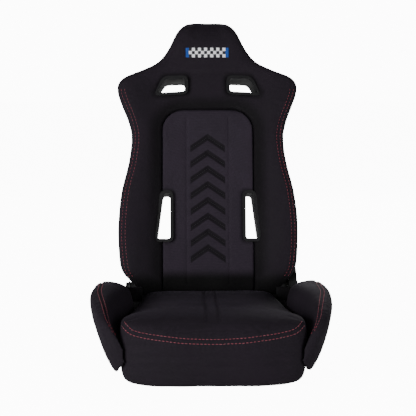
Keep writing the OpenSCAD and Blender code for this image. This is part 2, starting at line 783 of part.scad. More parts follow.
recliner_ring();
spring_peg();
back_shell();
shell_screws();
mirror([1, 0, 0]) bezel("shoulder");  // shoulder_bezel_left
bezel("shoulder");  // shoulder_bezel_right
mirror([1, 0, 0]) bezel("waist");  // waist_bezel_left
bezel("waist");  // waist_bezel_right
rear_bezels();
emblem_patch();
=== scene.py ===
"""Reclining sports bucket seat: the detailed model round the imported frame.

Lengths in the tables are millimetres; the backrest's own frame has x across the seat, v towards the
sitter and u up the slope. Everything is turned into row metres as the meshes are made.
"""

import json
import math

import bmesh
import bpy
import numpy as np
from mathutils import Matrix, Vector, noise
from mathutils.bvhtree import BVHTree
from mathutils.kdtree import KDTree


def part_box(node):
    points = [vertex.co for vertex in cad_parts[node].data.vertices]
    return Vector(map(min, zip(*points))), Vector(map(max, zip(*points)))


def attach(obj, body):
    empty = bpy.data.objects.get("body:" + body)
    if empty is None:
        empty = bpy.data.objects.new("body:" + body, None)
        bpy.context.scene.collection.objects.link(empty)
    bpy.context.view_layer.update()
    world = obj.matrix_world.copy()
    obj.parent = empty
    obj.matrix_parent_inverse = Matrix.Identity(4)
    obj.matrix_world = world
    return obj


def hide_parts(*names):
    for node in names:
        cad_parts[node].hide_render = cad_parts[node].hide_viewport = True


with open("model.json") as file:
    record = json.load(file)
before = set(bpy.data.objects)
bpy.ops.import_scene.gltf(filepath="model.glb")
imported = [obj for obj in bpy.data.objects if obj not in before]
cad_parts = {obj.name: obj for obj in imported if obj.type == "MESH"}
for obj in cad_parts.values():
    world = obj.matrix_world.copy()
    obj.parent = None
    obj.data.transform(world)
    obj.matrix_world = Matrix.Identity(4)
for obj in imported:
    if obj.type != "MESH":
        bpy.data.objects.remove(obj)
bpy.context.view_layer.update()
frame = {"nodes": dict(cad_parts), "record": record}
NODES = frame["nodes"]
MM = 0.001

# ---------- places, as the CAD has them ----------

LEAN = math.radians(13)
BACK_Y, BACK_Z = 165.0, 150.0
PIVOT_Y, PIVOT_Z = 205.0, 140.0
INSERT_HALF, INSERT_TOP, INSERT_CORNER, INSERT_FOOT = 121.0, 460.0, 58.0, -40.0
CHEVRON_COUNT, CHEVRON_HALF, CHEVRON_DROP, CHEVRON_PITCH, CHEVRON_TOP = 8, 45.0, 31.0, 41.2, 385.0
CHEVRON_BAND = 7.2
SHOULDER_SLOT = [(58, 505), (133, 501), (109, 538), (58, 540)]
WAIST_SLOT = [(98, 119.5), (132, 119.5), (116, 237.5), (98, 237.5)]
BEZEL_WALL = 3.3
CUSHION_FRONT, CUSHION_REAR = -295.0, 134.0
FOAM_FLOOR = 61.2
PAN_OUT = 210.0
ROLL_CORNER, PAN_CORNER = 31.0, 2.0
SHOULDER_CORNER, WAIST_CORNER = 9, 7
HINGE_NEAR, HINGE_FAR, HINGE_ROOM = 182, 300, 63
TUBE_FRONT_Y, TUBE_REAR_Y, SPRING_Z, SPRING_WIRE = -183.0, 215.0, 54.0, 3.6
SPRING_X, BACK_SPRING_U = (-114.0, -38.0, 38.0, 114.0), (90.0, 285.0, 345.0, 405.0)
BACK_SPRING_V, BACK_SPRING_SPAN = -33.8, 162.25

OUTLINE = [
    (-30, 176), (-22, 185), (-6, 195), (10, 206), (28, 221), (50, 229), (140, 235), (240, 226), (320, 207),
    (385, 200), (430, 209), (475, 227), (502, 236), (526, 236), (545, 219), (564, 173), (587, 131), (620, 104),
    (662, 83), (682, 68), (692, 53), (696, 36),
]
CREST = [
    (-30, 6), (-24, 17), (-8, 30), (14, 42), (36, 50), (80, 56), (240, 56), (380, 50), (470, 46), (530, 40),
    (590, 24), (640, 28), (676, 22), (696, -4),
]
FRONT = [
    (-30, 2), (-24, 12), (-8, 20), (24, 22), (480, 24), (540, 22), (600, 22), (650, 26), (680, 16), (696, -6),
]
REAR = [(-30, 2), (-24, 12), (-10, 18), (560, 18), (640, 18), (680, 18), (696, 14)]

CUSHION_HALF = [
    (-295, 60), (-290, 115), (-282, 157), (-270, 193), (-256, 210), (-236, 217), (-170, 213), (-100, 203),
    (20, 180), (140, 160),
]
CUSHION_TOP = [
    (-295, 104), (-291, 122), (-283, 136), (-270, 147), (-250, 154), (-210, 157), (-120, 147), (-30, 146),
    (40, 151), (90, 150), (134, 138),
]
CUSHION_LOW = [(-295, 26), (-290, 8), (-280, 3), (-214, 3), (-207, FOAM_FLOOR), (200, FOAM_FLOOR)]

BOLSTER_OUT = [
    (-270, 234), (-262, 248), (-240, 264), (-200, 276), (-130, 289), (-60, 295), (20, 291), (90, 279),
    (120, 268), (134, 258),
]
BOLSTER_TOP = [
    (-270, 120), (-262, 140), (-240, 158), (-200, 172), (-140, 182), (-70, 187), (0, 186), (70, 182),
    (110, 172), (134, 156),
]
BOLSTER_LOW = [
    (-270, 56), (-262, 42), (-240, 26), (-150, 16), (-60, 50), (10, 98), (80, 120), (134, 134),
]
BOLSTER_IN = [
    (-270, 200), (-256, 211), (-236, 218), (-170, 214), (-100, 204), (0, 186), (50, 202), (90, 232), (134, 239),
]
BOLSTER_SLOPE = [(-270, 0.5), (-200, 0.42), (-120, 0.3), (0, 0.14), (134, 0.12)]

SHELL_DEPTH = [(18, 56), (60, 63), (100, 64), (300, 64), (560, 64), (600, 64), (640, 59), (670, 48), (686, 34)]


# ---------- curves and sections ----------


def smooth(keys, t):
    """Value at t of a table of (place, value), by cubic pieces with averaged slopes."""
    k = np.asarray(keys, float)
    t = float(np.clip(t, k[0, 0], k[-1, 0]))
    i = int(np.clip(np.searchsorted(k[:, 0], t) - 1, 0, len(k) - 2))

    def slope(j):
        a, b = max(j - 1, 0), min(j + 1, len(k) - 1)
        return (k[b, 1] - k[a, 1]) / (k[b, 0] - k[a, 0])

    h = k[i + 1, 0] - k[i, 0]
    s = (t - k[i, 0]) / h
    return (
        k[i, 1] * (1 + 2 * s) * (1 - s) ** 2
        + k[i + 1, 1] * s * s * (3 - 2 * s)
        + h * slope(i) * s * (1 - s) ** 2
        + h * slope(i + 1) * s * s * (s - 1)
    )


def straight(keys, t):
    k = np.asarray(keys, float)
    return float(np.interp(t, k[:, 0], k[:, 1]))


def rounded(points, n=6):
    """A closed outline rounded inside its control points, with n points to each corner."""
    p = np.asarray(points, float)
    before, after = np.roll(p, 1, axis=0), np.roll(p, -1, axis=0)
    t = (np.arange(n) / n)[None, :, None]
    a, b, c = (before + p)[:, None] / 2, p[:, None], (p + after)[:, None] / 2
    return ((1 - t) ** 2 * a + 2 * t * (1 - t) * b + t * t * c).reshape(-1, 2)


def soft_corners(points, r, n=6):
    """A closed outline whose corners alone are rounded, starting r from each."""
    p = np.asarray(points, float)
    out = []
    for i, b in enumerate(p):
        back, on = p[i - 1] - b, p[(i + 1) % len(p)] - b
        back, on = back * r / np.linalg.norm(back), on * r / np.linalg.norm(on)
        for j in range(n + 1):
            t = j / n
            out.append(b + (1 - t) ** 2 * back + t * t * on)
    return np.array(out)


def mirrored(points):
    """Half an outline with its other half."""
    return [*points, *[(-x, y) for x, y in reversed(points)]]


def upright(points, y):
    """Row points of a section (x, z) that stands at y."""
    return np.array([(x, y, z) for x, z in points]) * MM


def grown(points, m):
    """A slot outline moved out by m on every side, as the CAD grows it."""
    middle = np.mean(np.asarray(points, float), axis=0)
    return [(x + m * (1 if x > middle[0] else -1), u + m * (1 if u > middle[1] else -1)) for x, u in points]


def from_back(points):
    """Backrest frame (x, v, u) in mm to row metres."""
    p = np.asarray(points, float).reshape(-1, 3)
    s, c = math.sin(LEAN), math.cos(LEAN)
    return np.stack([p[:, 0], BACK_Y + p[:, 2] * s - p[:, 1] * c, BACK_Z + p[:, 2] * c + p[:, 1] * s], 1) * MM


def to_back(points):
    """Row metres to the backrest frame (x, v, u) in mm."""
    p = np.asarray(points, float).reshape(-1, 3) / MM
    s, c = math.sin(LEAN), math.cos(LEAN)
    y, z = p[:, 1] - BACK_Y, p[:, 2] - BACK_Z
    return np.stack([p[:, 0], z * s - y * c, z * c + y * s], 1)


def back_ring(u, shrink):
    """Section of the backrest foam at u, as (x, v), drawn in by shrink."""
    w, k, f, b = (smooth(t, u) - shrink for t in (OUTLINE, CREST, FRONT, REAR))
    m = 0.74 * w
    half = [
        (w * 0.5, -b), (w - 14, -b), (w, -b * 0.4), (w, k * 0.5), (w - 9, k), (w - 40, k),
        (m * 0.86, f + (k - f) * 0.35), (m * 0.6, f), (m * 0.25, f),
    ]
    return rounded(mirrored(half))


def cushion_ring(y, shrink):
    w, t, b = smooth(CUSHION_HALF, y) - shrink, smooth(CUSHION_TOP, y) - shrink, straight(CUSHION_LOW, y)
    c = ROLL_CORNER if y < -210 else PAN_CORNER
    half = [
        (w * 0.5, b), (w - c, b), (w - c * 0.2, b + c * 0.22), (w, b + (t - b) * 0.4), (w - 1, t - 12),
        (w - 16, t), (w * 0.6, t + 2), (w * 0.25, t + 1),
    ]
    return rounded(mirrored(half))


def bolster_ring(y, shrink):
    o, t, b = smooth(BOLSTER_OUT, y) - shrink, smooth(BOLSTER_TOP, y) - shrink, smooth(BOLSTER_LOW, y) + shrink
    i, q = smooth(BOLSTER_IN, y), smooth(BOLSTER_SLOPE, y)
    h, base_in = t - b, i if y < -225 else max(i, PAN_OUT)
    w, foot = o - base_in, max(b + 4, min(FOAM_FLOOR, t - 24))
    return rounded([
        (base_in, b), (base_in + 0.12 * w, b), (o - 0.68 * w, b + h * 0.1), (o - 0.42 * w, b + h * 0.3),
        (o - 0.16 * w, b + h * 0.6), (o, b + h * 0.82), (o - 0.08 * w, t - 3), (o - 0.32 * (o - i), t),
        (i + q * (o - i), t - 2 - h * 0.1 * q), (i + 3, foot + (t - foot) * 0.5), (i, foot + 2),
        (base_in, foot),
    ])


# ---------- meshes ----------


def new_object(name, verts, faces):
    mesh = bpy.data.meshes.new(name)
    mesh.from_pydata([tuple(v) for v in verts], [], faces)
    mesh.validate()
    obj = bpy.data.objects.new(name, mesh)
    bpy.context.scene.collection.objects.link(obj)
    return obj


def face_outward(obj):
    bm = bmesh.new()
    bm.from_mesh(obj.data)
    bmesh.ops.recalc_face_normals(bm, faces=bm.faces)
    bm.to_mesh(obj.data)
    bm.free()


def solid(name, verts, faces):
    obj = new_object(name, verts, faces)
    face_outward(obj)
    return obj


def shade(obj):
    obj.data.polygons.foreach_set("use_smooth", np.full(len(obj.data.polygons), True))


def tube_faces(base, rings, sides):
    """The wall and both ends of a tube whose rings of vertices follow on from base."""
    last = base + (rings - 1) * sides
    wall = [
        (j + i, j + (i + 1) % sides, j + sides + (i + 1) % sides, j + sides + i)
        for j in range(base, last, sides)
        for i in range(sides)
    ]
    return [*wall, tuple(range(base + sides - 1, base - 1, -1)), tuple(range(last, last + sides))]


def loft(name, rings):
    """Closed solid skinned over rings of row points, all with one count."""
    return solid(name, np.concatenate(rings), tube_faces(0, len(rings), len(rings[0])))


def back_prism(name, outline, v0, v1):
    """Solid between depths v0 and v1 of the backrest with the outline (x, u)."""
    return loft(name, [from_back([(x, v, u) for x, u in outline]) for v in (v0, v1)])


def rod_at_pivot(name, x0, x1, r, n=96):
    angles = np.arange(n) * 2 * math.pi / n
    rings = [
        np.stack([np.full(n, x), PIVOT_Y + r * np.cos(angles), PIVOT_Z + r * np.sin(angles)], 1) * MM
        for x in (x0, x1)
    ]
    return loft(name, rings)


def slot_cutters(grow):
    """Solids through the backrest for the four harness slots, grown all round."""
    out = []
    for slot, r in ((SHOULDER_SLOT, SHOULDER_CORNER), (WAIST_SLOT, WAIST_CORNER)):
        half = soft_corners(grown(slot, grow), r + grow)
        for side in (1, -1):
            out.append(back_prism("cutter", half * (side, 1), -90, 90))
    return out


def hinge_cutters(room):
    """Round solids that clear both hinge arms at the foot of the backrest."""
    return [rod_at_pivot("cutter", HINGE_NEAR * s, HINGE_FAR * s, room) for s in (1, -1)]


def settle(obj):
    """Apply the object's modifiers."""
    view = bpy.context.evaluated_depsgraph_get()
    view.update()
    mesh = bpy.data.meshes.new_from_object(obj.evaluated_get(view))
    obj.modifiers.clear()
    old, obj.data = obj.data, mesh
    bpy.data.meshes.remove(old)


def cut(obj, cutters, how="DIFFERENCE"):
    for c in cutters:
        m = obj.modifiers.new("cut", "BOOLEAN")
        m.operation, m.object, m.solver = how, c, "EXACT"
    settle(obj)
    for c in cutters:
        bpy.data.meshes.remove(c.data)
    return obj


def remesh(obj, voxel, rounds):
    """Even quads, with the cut edges rounded as foam under cloth rounds them."""
    m = obj.modifiers.new("even", "REMESH")
    m.mode, m.voxel_size = "VOXEL", voxel * MM
    if rounds:
        s = obj.modifiers.new("round", "SMOOTH")
        s.factor, s.iterations = 0.5, rounds
    settle(obj)
    return obj


def coords(obj, what="co"):
    """Place, or normal, of every vertex."""
    values = np.empty(len(obj.data.vertices) * 3)
    obj.data.vertices.foreach_get(what, values)
    return values.reshape(-1, 3)


def set_coords(obj, co):
    obj.data.vertices.foreach_set("co", np.ascontiguousarray(co, float).ravel())
    obj.data.update()


def subdivide(obj):
    m = obj.modifiers.new("fine", "SUBSURF")
    m.levels = m.render_levels = 1
    settle(obj)


def edge_fade(value, near, far):
    """1 at near and beyond it, 0 at far, smooth between."""
    t = np.clip((np.asarray(value, float) - near) / (far - near), 0, 1)
    return 1 - t * t * (3 - 2 * t)


def outline_distance(points, outline, closed=True):
    """Distance in mm of 2D points from an outline, and whether they are inside it."""
    a = np.asarray(outline, float)
    b = np.roll(a, -1, axis=0)
    if not closed:
        a, b = a[:-1], b[:-1]
    best = np.full(len(points), 1e9)
    inside = np.zeros(len(points), bool)
    for p, q in zip(a, b):
        d = q - p
        t = np.clip(((points - p) @ d) / max(d @ d, 1e-9), 0, 1)
        best = np.minimum(best, np.linalg.norm(points - p - t[:, None] * d, axis=1))
        if closed:
            crosses = (p[1] > points[:, 1]) != (q[1] > points[:, 1])
            if abs(d[1]) > 1e-12:
                inside ^= crosses & (points[:, 0] < p[0] + (points[:, 1] - p[1]) * d[0] / d[1])
    return best, inside


CLOTH_FRAMES, CLOTH_STIFF, PIN_LEVELS = 20, 12.0, 10


def inflate(jobs):
    """Cloth simulation of every padded piece together: (object, pin weights, cap in mm)."""
    scene = bpy.context.scene
    starts = []
    for obj, pins, _ in jobs:
        group = obj.vertex_groups.new(name="pin")
        for level in range(1, PIN_LEVELS + 1):
            chosen = np.flatnonzero(np.rint(np.clip(pins, 0, 1) * PIN_LEVELS) == level)
            if len(chosen):
                group.add(chosen.tolist(), level / PIN_LEVELS, "REPLACE")
        cloth = obj.modifiers.new("cloth", "CLOTH")
        s = cloth.settings
        s.quality, s.mass = 5, 0.2
        s.tension_stiffness = s.compression_stiffness = CLOTH_STIFF
        s.shear_stiffness, s.bending_stiffness = CLOTH_STIFF / 3, 0.4
        s.use_pressure, s.uniform_pressure_force = True, 4.0
        s.vertex_group_mass, s.pin_stiffness = "pin", 1.0
        s.effector_weights.gravity = 0.0
        cloth.collision_settings.use_collision = False
        cloth.point_cache.frame_start, cloth.point_cache.frame_end = 1, CLOTH_FRAMES
        starts.append(coords(obj))
    for f in range(1, CLOTH_FRAMES + 1):
        scene.frame_set(f)
    for (obj, _, cap), start in zip(jobs, starts):
        settle(obj)
        obj.vertex_groups.clear()
        move = coords(obj) - start
        far = np.linalg.norm(move, axis=1, keepdims=True)
        # the rise eases into the cap, so that no flat-topped ridge is left
        limit = cap * MM
        set_coords(obj, start + move * (limit * np.tanh(far / limit) / np.maximum(far, 1e-9)))
    scene.frame_set(1)


# ---------- seams and stitches ----------

PRESS_STEP = 1.2


class Skin:
    """The surface of a fabric piece: seams are pressed into it and stitches laid on it."""

    def __init__(self, obj):
        self.obj = obj
        self.refresh()

    def refresh(self):
        co = coords(self.obj)
        self.tree = BVHTree.FromPolygons(
            [tuple(v) for v in co], [tuple(p.vertices) for p in self.obj.data.polygons]
        )

    def lay(self, rays):
        """Row points dropped on the surface along their rays: place and normal of each hit."""
        out = []
        for p, d in zip(*rays):
            d = Vector(d).normalized()
            hit, normal, _, _ = self.tree.ray_cast(Vector(p) - d * 0.2, d, 0.4)
            if hit is not None:
                out.append((hit, normal if normal.dot(d) < 0 else -normal))
        return out

    def press(self, rays, depth, width, pucker=0.0, pitch=16.0, reach=14.0, seed=0.0):
        """A groove where the rays meet the surface, with puckers of the cloth beside it. Millimetres."""
        path = resample([p for p, _ in self.lay(rays)], PRESS_STEP)
        kd = KDTree(len(path))
        for i, p in enumerate(path):
            kd.insert(p, i)
        kd.balance()
        co, no = coords(self.obj), coords(self.obj, "normal")
        pts = np.array([tuple(p) for p in path])
        far = (max(3 * width, 2.5 * reach if pucker else 0)) * MM
        low, high = pts.min(0) - far, pts.max(0) + far
        near = np.flatnonzero(np.all((co > low) & (co < high), axis=1))
        for i in near:
            _, k, d = kd.find(co[i])
            if d > far:
                continue
            d /= MM
            drop = depth * math.exp(-((d / width) ** 2))
            if pucker:
                along = k * PRESS_STEP / pitch
                wave = math.sin(2 * math.pi * (along + 0.35 * math.sin(along * 1.7 + seed)) + seed)
                drop += pucker * wave * (d / reach) * math.exp(1 - d / reach) * math.exp(-d / reach)
            co[i] -= no[i] * drop * MM
        set_coords(self.obj, co)


def run_of(points):
    """Length along a polyline up to each of its points."""
    return np.concatenate([[0], np.cumsum(np.linalg.norm(np.diff(points, axis=0), axis=1))])


def point_at(at, run, points):
    return np.array([np.interp(at, run, axis) for axis in points.T])


def resample(points, step):
    """The polyline with points every step mm."""
    p = np.array([tuple(v) for v in points], float)
    run = run_of(p)
    n = max(2, int(round(run[-1] / (step * MM))) + 1)
    return [Vector(point_at(a, run, p)) for a in np.linspace(0, run[-1], n)]


def stitches(name, rows, length=6.2, pitch=8.6, width=1.5, proud=0.35):
    """One mesh of short threads lying along rows of (place, normal)."""
    verts, faces = [], []
    sides, beads = 6, 5
    for row in rows:
        if len(row) < 3:
            continue
        places = np.array([tuple(p) for p, _ in row])
        ups = np.array([tuple(n) for _, n in row])
        s = run_of(places)
        count = int(s[-1] / (pitch * MM))
        for k in range(count):
            centre = (k + 0.5) * pitch * MM
            base = len(verts)
            for b in range(beads):
                t = b / (beads - 1) * 2 - 1
                at = centre + t * length / 2 * MM
                p, up = point_at(at, s, places), point_at(at, s, ups)
                up /= np.linalg.norm(up)
                ahead, behind = point_at(at + MM, s, places), point_at(at - MM, s, places)
                along = (ahead - behind) / max(np.linalg.norm(ahead - behind), 1e-9)
                across = np.cross(up, along)
                r = width / 2 * MM * (1 - 0.55 * t * t)
                lift = (proud * (1 - t * t) - 0.25 * t * t) * MM
                for q in range(sides):
                    a = 2 * math.pi * q / sides
                    verts.append(p + up * (lift + r * math.sin(a)) + across * r * math.cos(a))
            faces += tube_faces(base, beads, sides)
    obj = solid(name, verts, faces)
    shade(obj)
    return obj


# ---------- materials ----------


class Shader:
    """A procedural material put together node by node."""

    def __init__(self, name):
        self.material = bpy.data.materials.new(name)
        self.material.use_nodes = True
        self.nodes, self.links = self.material.node_tree.nodes, self.material.node_tree.links
        self.bsdf = self.nodes["Principled BSDF"]
        self.place = self.nodes.new("ShaderNodeTexCoord").outputs["Object"]

    def put(self, **values):
        for key, value in values.items():
            self.bsdf.inputs[key.replace("_", " ")].default_value = value
        return self

    def feed(self, socket, value):
        """Link another node's output, or set a number or colour."""
        if isinstance(value, bpy.types.NodeSocket):
            self.links.new(value, socket)
        else:
            socket.default_value = (*value, 1) if isinstance(value, tuple) else value

    def math(self, how, a, b=None):
        node = self.nodes.new("ShaderNodeMath")
        node.operation = how
        for socket, value in zip(node.inputs, (a, b)):
            if value is not None:
                self.feed(socket, value)
        return node.outputs[0]

    def mix(self, factor, a, b, how="MIX"):
        node = self.nodes.new("ShaderNodeMix")
        node.data_type, node.blend_type = "RGBA", how
        for name, value in (("Factor", factor), ("A", a), ("B", b)):
            self.feed(node.inputs[name], value)
        return node.outputs["Result"]

    def noise(self, scale, detail=3.0, roughness=0.55, stretch=None):
        node, place = self.nodes.new("ShaderNodeTexNoise"), self.place
        if stretch:
            mapping = self.nodes.new("ShaderNodeMapping")
            mapping.inputs["Scale"].default_value = stretch
            self.feed(mapping.inputs["Vector"], place)
            place = mapping.outputs["Vector"]
        for name, value in (("Scale", scale), ("Detail", detail), ("Roughness", roughness), ("Vector", place)):
            self.feed(node.inputs[name], value)
        return node.outputs["Fac"]

    def axes(self):
        split = self.nodes.new("ShaderNodeSeparateXYZ")
        self.links.new(self.place, split.inputs[0])
        return split.outputs

    def knit(self, pitch):
        """A regular mesh of bumps, pitch mm apart, that looks alike on faces of any direction."""
        k = 2 * math.pi / (pitch * MM)
        x, y, z = (self.math("MULTIPLY", axis, k) for axis in self.axes())
        parts = [
            self.math("MULTIPLY", self.math("SINE", a), self.math("COSINE", b))
            for a, b in ((x, y), (y, z), (z, x))
        ]
        total = self.math("ADD", self.math("ADD", parts[0], parts[1]), parts[2])
        return self.math("MULTIPLY", total, 0.4)

    def darkened(self, colour, amount, tone):
        return self.mix(amount, colour, (tone, tone, tone), "MULTIPLY")

    def with_painted_shade(self, colour):
        """The colour with painted shade: darker where the piece's points are marked as lying in shade, in
        creases and recesses.
        """
        layer = self.nodes.new("ShaderNodeAttribute")
        # the fold attribute holds the painted shade marked on the piece's points
        layer.attribute_name = "fold"
        return self.darkened(colour, layer.outputs["Fac"], PAINTED_SHADE_DARK)

    def banded(self, colour):
        """The colour, darkened on the chevron bands, which are laid out from the place on the backrest."""
        x, y, z = self.axes()
        across = self.math("ABSOLUTE", x)
        rise = self.math(
            "ADD", self.math("MULTIPLY", y, math.sin(LEAN)), self.math("MULTIPLY", z, math.cos(LEAN))
        )
        apex = self.math("ADD", rise, self.math("MULTIPLY", across, CHEVRON_DROP / CHEVRON_HALF))
        zero = (BACK_Y * math.sin(LEAN) + BACK_Z * math.cos(LEAN) + CHEVRON_TOP) * MM
        count = self.math("DIVIDE", self.math("SUBTRACT", zero, apex), CHEVRON_PITCH * MM)
        off = self.math("ABSOLUTE", self.math("SUBTRACT", count, self.math("ROUND", count)))
        half = CHEVRON_BAND / CHEVRON_PITCH / math.cos(math.atan(CHEVRON_DROP / CHEVRON_HALF))
        on = self.ramp(off, half - 0.03, half + 0.03, 1.0, 0.0)
        for value, limit in ((across, CHEVRON_HALF * MM), (count, CHEVRON_COUNT - 0.5)):
            on = self.math("MULTIPLY", on, self.math("LESS_THAN", value, limit))
        on = self.math("MULTIPLY", on, self.math("GREATER_THAN", count, -0.5))
        return self.darkened(colour, on, BAND_DARK)

    def ramp(self, value, low, high, a, b):
        """value from low..high to a..b, which are numbers or colours."""
        node = self.nodes.new("ShaderNodeMapRange")
        node.inputs["From Min"].default_value, node.inputs["From Max"].default_value = low, high
        self.links.new(value, node.inputs["Value"])
        if isinstance(a, tuple):
            return self.mix(node.outputs["Result"], a, b)
        node.inputs["To Min"].default_value, node.inputs["To Max"].default_value = a, b
        return node.outputs["Result"]

    def mottled(self, value, a, b):
        """From a to b over the middle of a noise's range."""
        return self.ramp(value, 0.3, 0.7, a, b)

    def tinted(self, value, colour, dark, light):
        return self.colour(self.mottled(value, shade_of(colour, dark), shade_of(colour, light)))

    def colour(self, value):
        self.links.new(value, self.bsdf.inputs["Base Color"])
        return self

    def roughness(self, value):
        self.links.new(value, self.bsdf.inputs["Roughness"])
        return self

    def scuffed(self, value, low, high):
        return self.roughness(self.mottled(value, low, high))

    def bump(self, *layers):
        """Layers of (height, strength, distance in mm), one upon another."""
        normal = None
        for height, strength, distance in layers:
            node = self.nodes.new("ShaderNodeBump")
            node.inputs["Strength"].default_value = strength
            node.inputs["Distance"].default_value = distance * MM
            self.links.new(height, node.inputs["Height"])
            if normal is not None:
                self.links.new(normal, node.inputs["Normal"])
            normal = node.outputs["Normal"]
        self.links.new(normal, self.bsdf.inputs["Normal"])
        return self


def shade_of(colour, factor):
    return tuple(c * factor for c in colour)


CLOTH_SHEEN = (0.66, 0.56, 0.76, 1)


def fabric(name, colour, pitch, sheen, weave=0.5, fuzz=0.25, bands=False):
    """Knitted or woven cloth: a mesh of threads, darker in its gaps, with mottled wear, any bands and painted
    shade where the piece's points are marked.
    """
    m = Shader(name).put(Sheen_Weight=sheen, Sheen_Roughness=0.4, Sheen_Tint=CLOTH_SHEEN)
    m.put(Specular_IOR_Level=0.14)
    knit, mottle, speck = m.knit(pitch), m.noise(9.0, 4.0), m.noise(420.0, 2.0)
    cloth = m.ramp(m.math("ADD", m.math("MULTIPLY", knit, 0.7), m.math("MULTIPLY", speck, 0.6)), -0.3, 0.8,
                   shade_of(colour, 0.55), shade_of(colour, 1.35))
    wear = m.mottled(mottle, (0.82, 0.82, 0.84), (1.16, 1.15, 1.15))
    tone = m.mix(1.0, cloth, wear, "MULTIPLY")
    # painted shade from the points' fold marks is laid over the colour last
    m.colour(m.with_painted_shade(m.banded(tone) if bands else tone)).scuffed(mottle, 0.72, 0.9)
    return m.bump((m.noise(60.0, 3.0), fuzz, 0.8), (knit, weave, 0.35)).material


def plastic(name, colour, rough, grain=900.0, strength=0.25):
    """Moulded plastic with a fine spark grain and faint rubbed patches."""
    m = Shader(name).put(Specular_IOR_Level=0.22)
    m.tinted(m.noise(14.0, 4.0), colour, 0.85, 1.2).scuffed(m.noise(26.0, 5.0), rough - 0.07, rough + 0.1)
    return m.bump((m.noise(grain, 2.0), strength, 0.15)).material


def metal(name, colour, rough, brushed=None):
    """Plated or bare steel, brushed along one axis where brushed stretches its grain."""
    m = Shader(name).put(Metallic=1.0)
    m.tinted(m.noise(30.0, 5.0), colour, 0.75, 1.15)
    m.scuffed(m.noise(220.0, 3.0, stretch=brushed), rough - 0.08, rough + 0.14)
    return m.bump((m.noise(700.0, 2.0, stretch=brushed), 0.12, 0.1)).material


def paint(name, colour, rough):
    """Powder coat: slight orange peel, a little dust in its roughness."""
    m = Shader(name).put(Specular_IOR_Level=0.5, Coat_Weight=0.15, Coat_Roughness=0.3)
    m.tinted(m.noise(20.0, 4.0), colour, 0.85, 1.2).scuffed(m.noise(45.0, 4.0), rough - 0.06, rough + 0.12)
    return m.bump((m.noise(380.0, 1.0), 0.15, 0.2)).material


def felted(name, colour):
    m = Shader(name).put(Sheen_Weight=0.4, Sheen_Roughness=0.6)
    fibres = m.noise(500.0, 5.0, 0.7)
    m.tinted(fibres, colour, 0.6, 1.5).scuffed(fibres, 0.85, 0.98)
    return m.bump((fibres, 0.6, 0.8)).material


def thread(name, colour, sheen=0.3):
    m = Shader(name).put(Sheen_Weight=sheen, Specular_IOR_Level=0.3)
    twist = m.noise(900.0, 2.0)
    m.tinted(twist, colour, 0.75, 1.2).scuffed(twist, 0.5, 0.7)
    return m.bump((twist, 0.4, 0.3)).material


COVER_BLACK, INSERT_BLACK = (0.0098, 0.0070, 0.0108), (0.0178, 0.0132, 0.0202)
# The second value is the tone that painted shade multiplies the cloth colour by where a point is fully marked.
BAND_DARK, PAINTED_SHADE_DARK = 0.3, 0.03

MATERIALS = {
    "cover_fabric": fabric("cover cloth", COVER_BLACK, 1.7, 0.03),
    "insert_fabric": fabric("insert mesh cloth", INSERT_BLACK, 3.0, 0.05, weave=0.8, bands=True),
    "felt": felted("felt", (0.1, 0.1, 0.105)),
    "shell_plastic": plastic("shell grain", (0.016, 0.016, 0.017), 0.5, 520.0, 0.5),
    "trim_plastic": plastic("trim", (0.0035, 0.0034, 0.004), 0.55),
    "emblem_cloth": fabric("emblem weave", (0.72, 0.72, 0.74), 0.9, 0.1, fuzz=0.1),
    "bush_nylon": plastic("bush nylon", (0.01, 0.01, 0.011), 0.45, 600.0, 0.15),
    "frame_black": paint("powder coat", (0.012, 0.012, 0.013), 0.42),
    "bracket_black": paint("bracket paint", (0.018, 0.018, 0.02), 0.36),
    "zinc_steel": metal("zinc plate", (0.6, 0.6, 0.58), 0.34),
    "spring_steel": metal("spring steel", (0.2, 0.2, 0.21), 0.36, (1, 1, 12)),
}
RED_THREAD = thread("red thread", (0.25, 0.024, 0.045))
BLACK_THREAD = thread("black thread", (0.0015, 0.0014, 0.0018), sheen=0.0)
BLUE_CLOTH = fabric("emblem blue", (0.014, 0.06, 0.26), 0.9, 0.1, fuzz=0.1)
DARK_CLOTH = fabric("emblem dark", (0.02, 0.02, 0.024), 0.9, 0.1, fuzz=0.1)


def place(obj, slot, body, node=None, materials=()):
    """Give a piece the materials of its record slot, or those given, fix it to the body it rides on and hide
    the CAD node it stands for.
    """
    for m in materials or (MATERIALS[slot],):
        obj.data.materials.append(m)
    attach(obj, body)
    if node:
        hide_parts(node)


# ---------- upholstery of the backrest ----------

COVER_SHRINK, COVER_VOXEL = 1.5, 6.0
INSERT_SHRINK, INSERT_VOXEL = 2.6, 3.6
RECESS_FLOOR, SLOT_TUCK = 3.0, 0.6


def insert_outline(grow):
    """The insert's outline (x, u): square at its foot, rounded at its top."""
    half, top, r = INSERT_HALF + grow, INSERT_TOP + grow, INSERT_CORNER + grow
    arc = [
        (half - r + r * math.cos(a), top - r + r * math.sin(a)) for a in np.linspace(0, math.pi / 2, 10)
    ]
    return [(half, INSERT_FOOT), *arc, *[(-x, u) for x, u in reversed(arc)], (-half, INSERT_FOOT)]


def slot_gap(xu, grow=0.0):
    """Distance in mm of backrest points (x, u) from the nearest harness slot, grown all round."""
    fold = np.stack([np.abs(xu[:, 0]), xu[:, 1]], 1)
    gaps = [outline_distance(fold, grown(slot, grow)) for slot in (SHOULDER_SLOT, WAIST_SLOT)]
    return np.min([np.where(inside, 0, d) for d, inside in gaps], axis=0)


def make_cover():
    stations = np.concatenate([np.arange(-30, 0, 2.5), np.arange(0, 690, 6), np.arange(690, 696.1, 2)])
    rings = [from_back([(x, v, u) for x, v in back_ring(u, COVER_SHRINK)]) for u in stations]
    obj = loft("backrest_upholstery", rings)
    recess = back_prism("cutter", insert_outline(-1.0), RECESS_FLOOR, 90)
    cut(obj, [recess, *slot_cutters(BEZEL_WALL - SLOT_TUCK), *hinge_cutters(HINGE_ROOM)])
    return remesh(obj, COVER_VOXEL, 3)


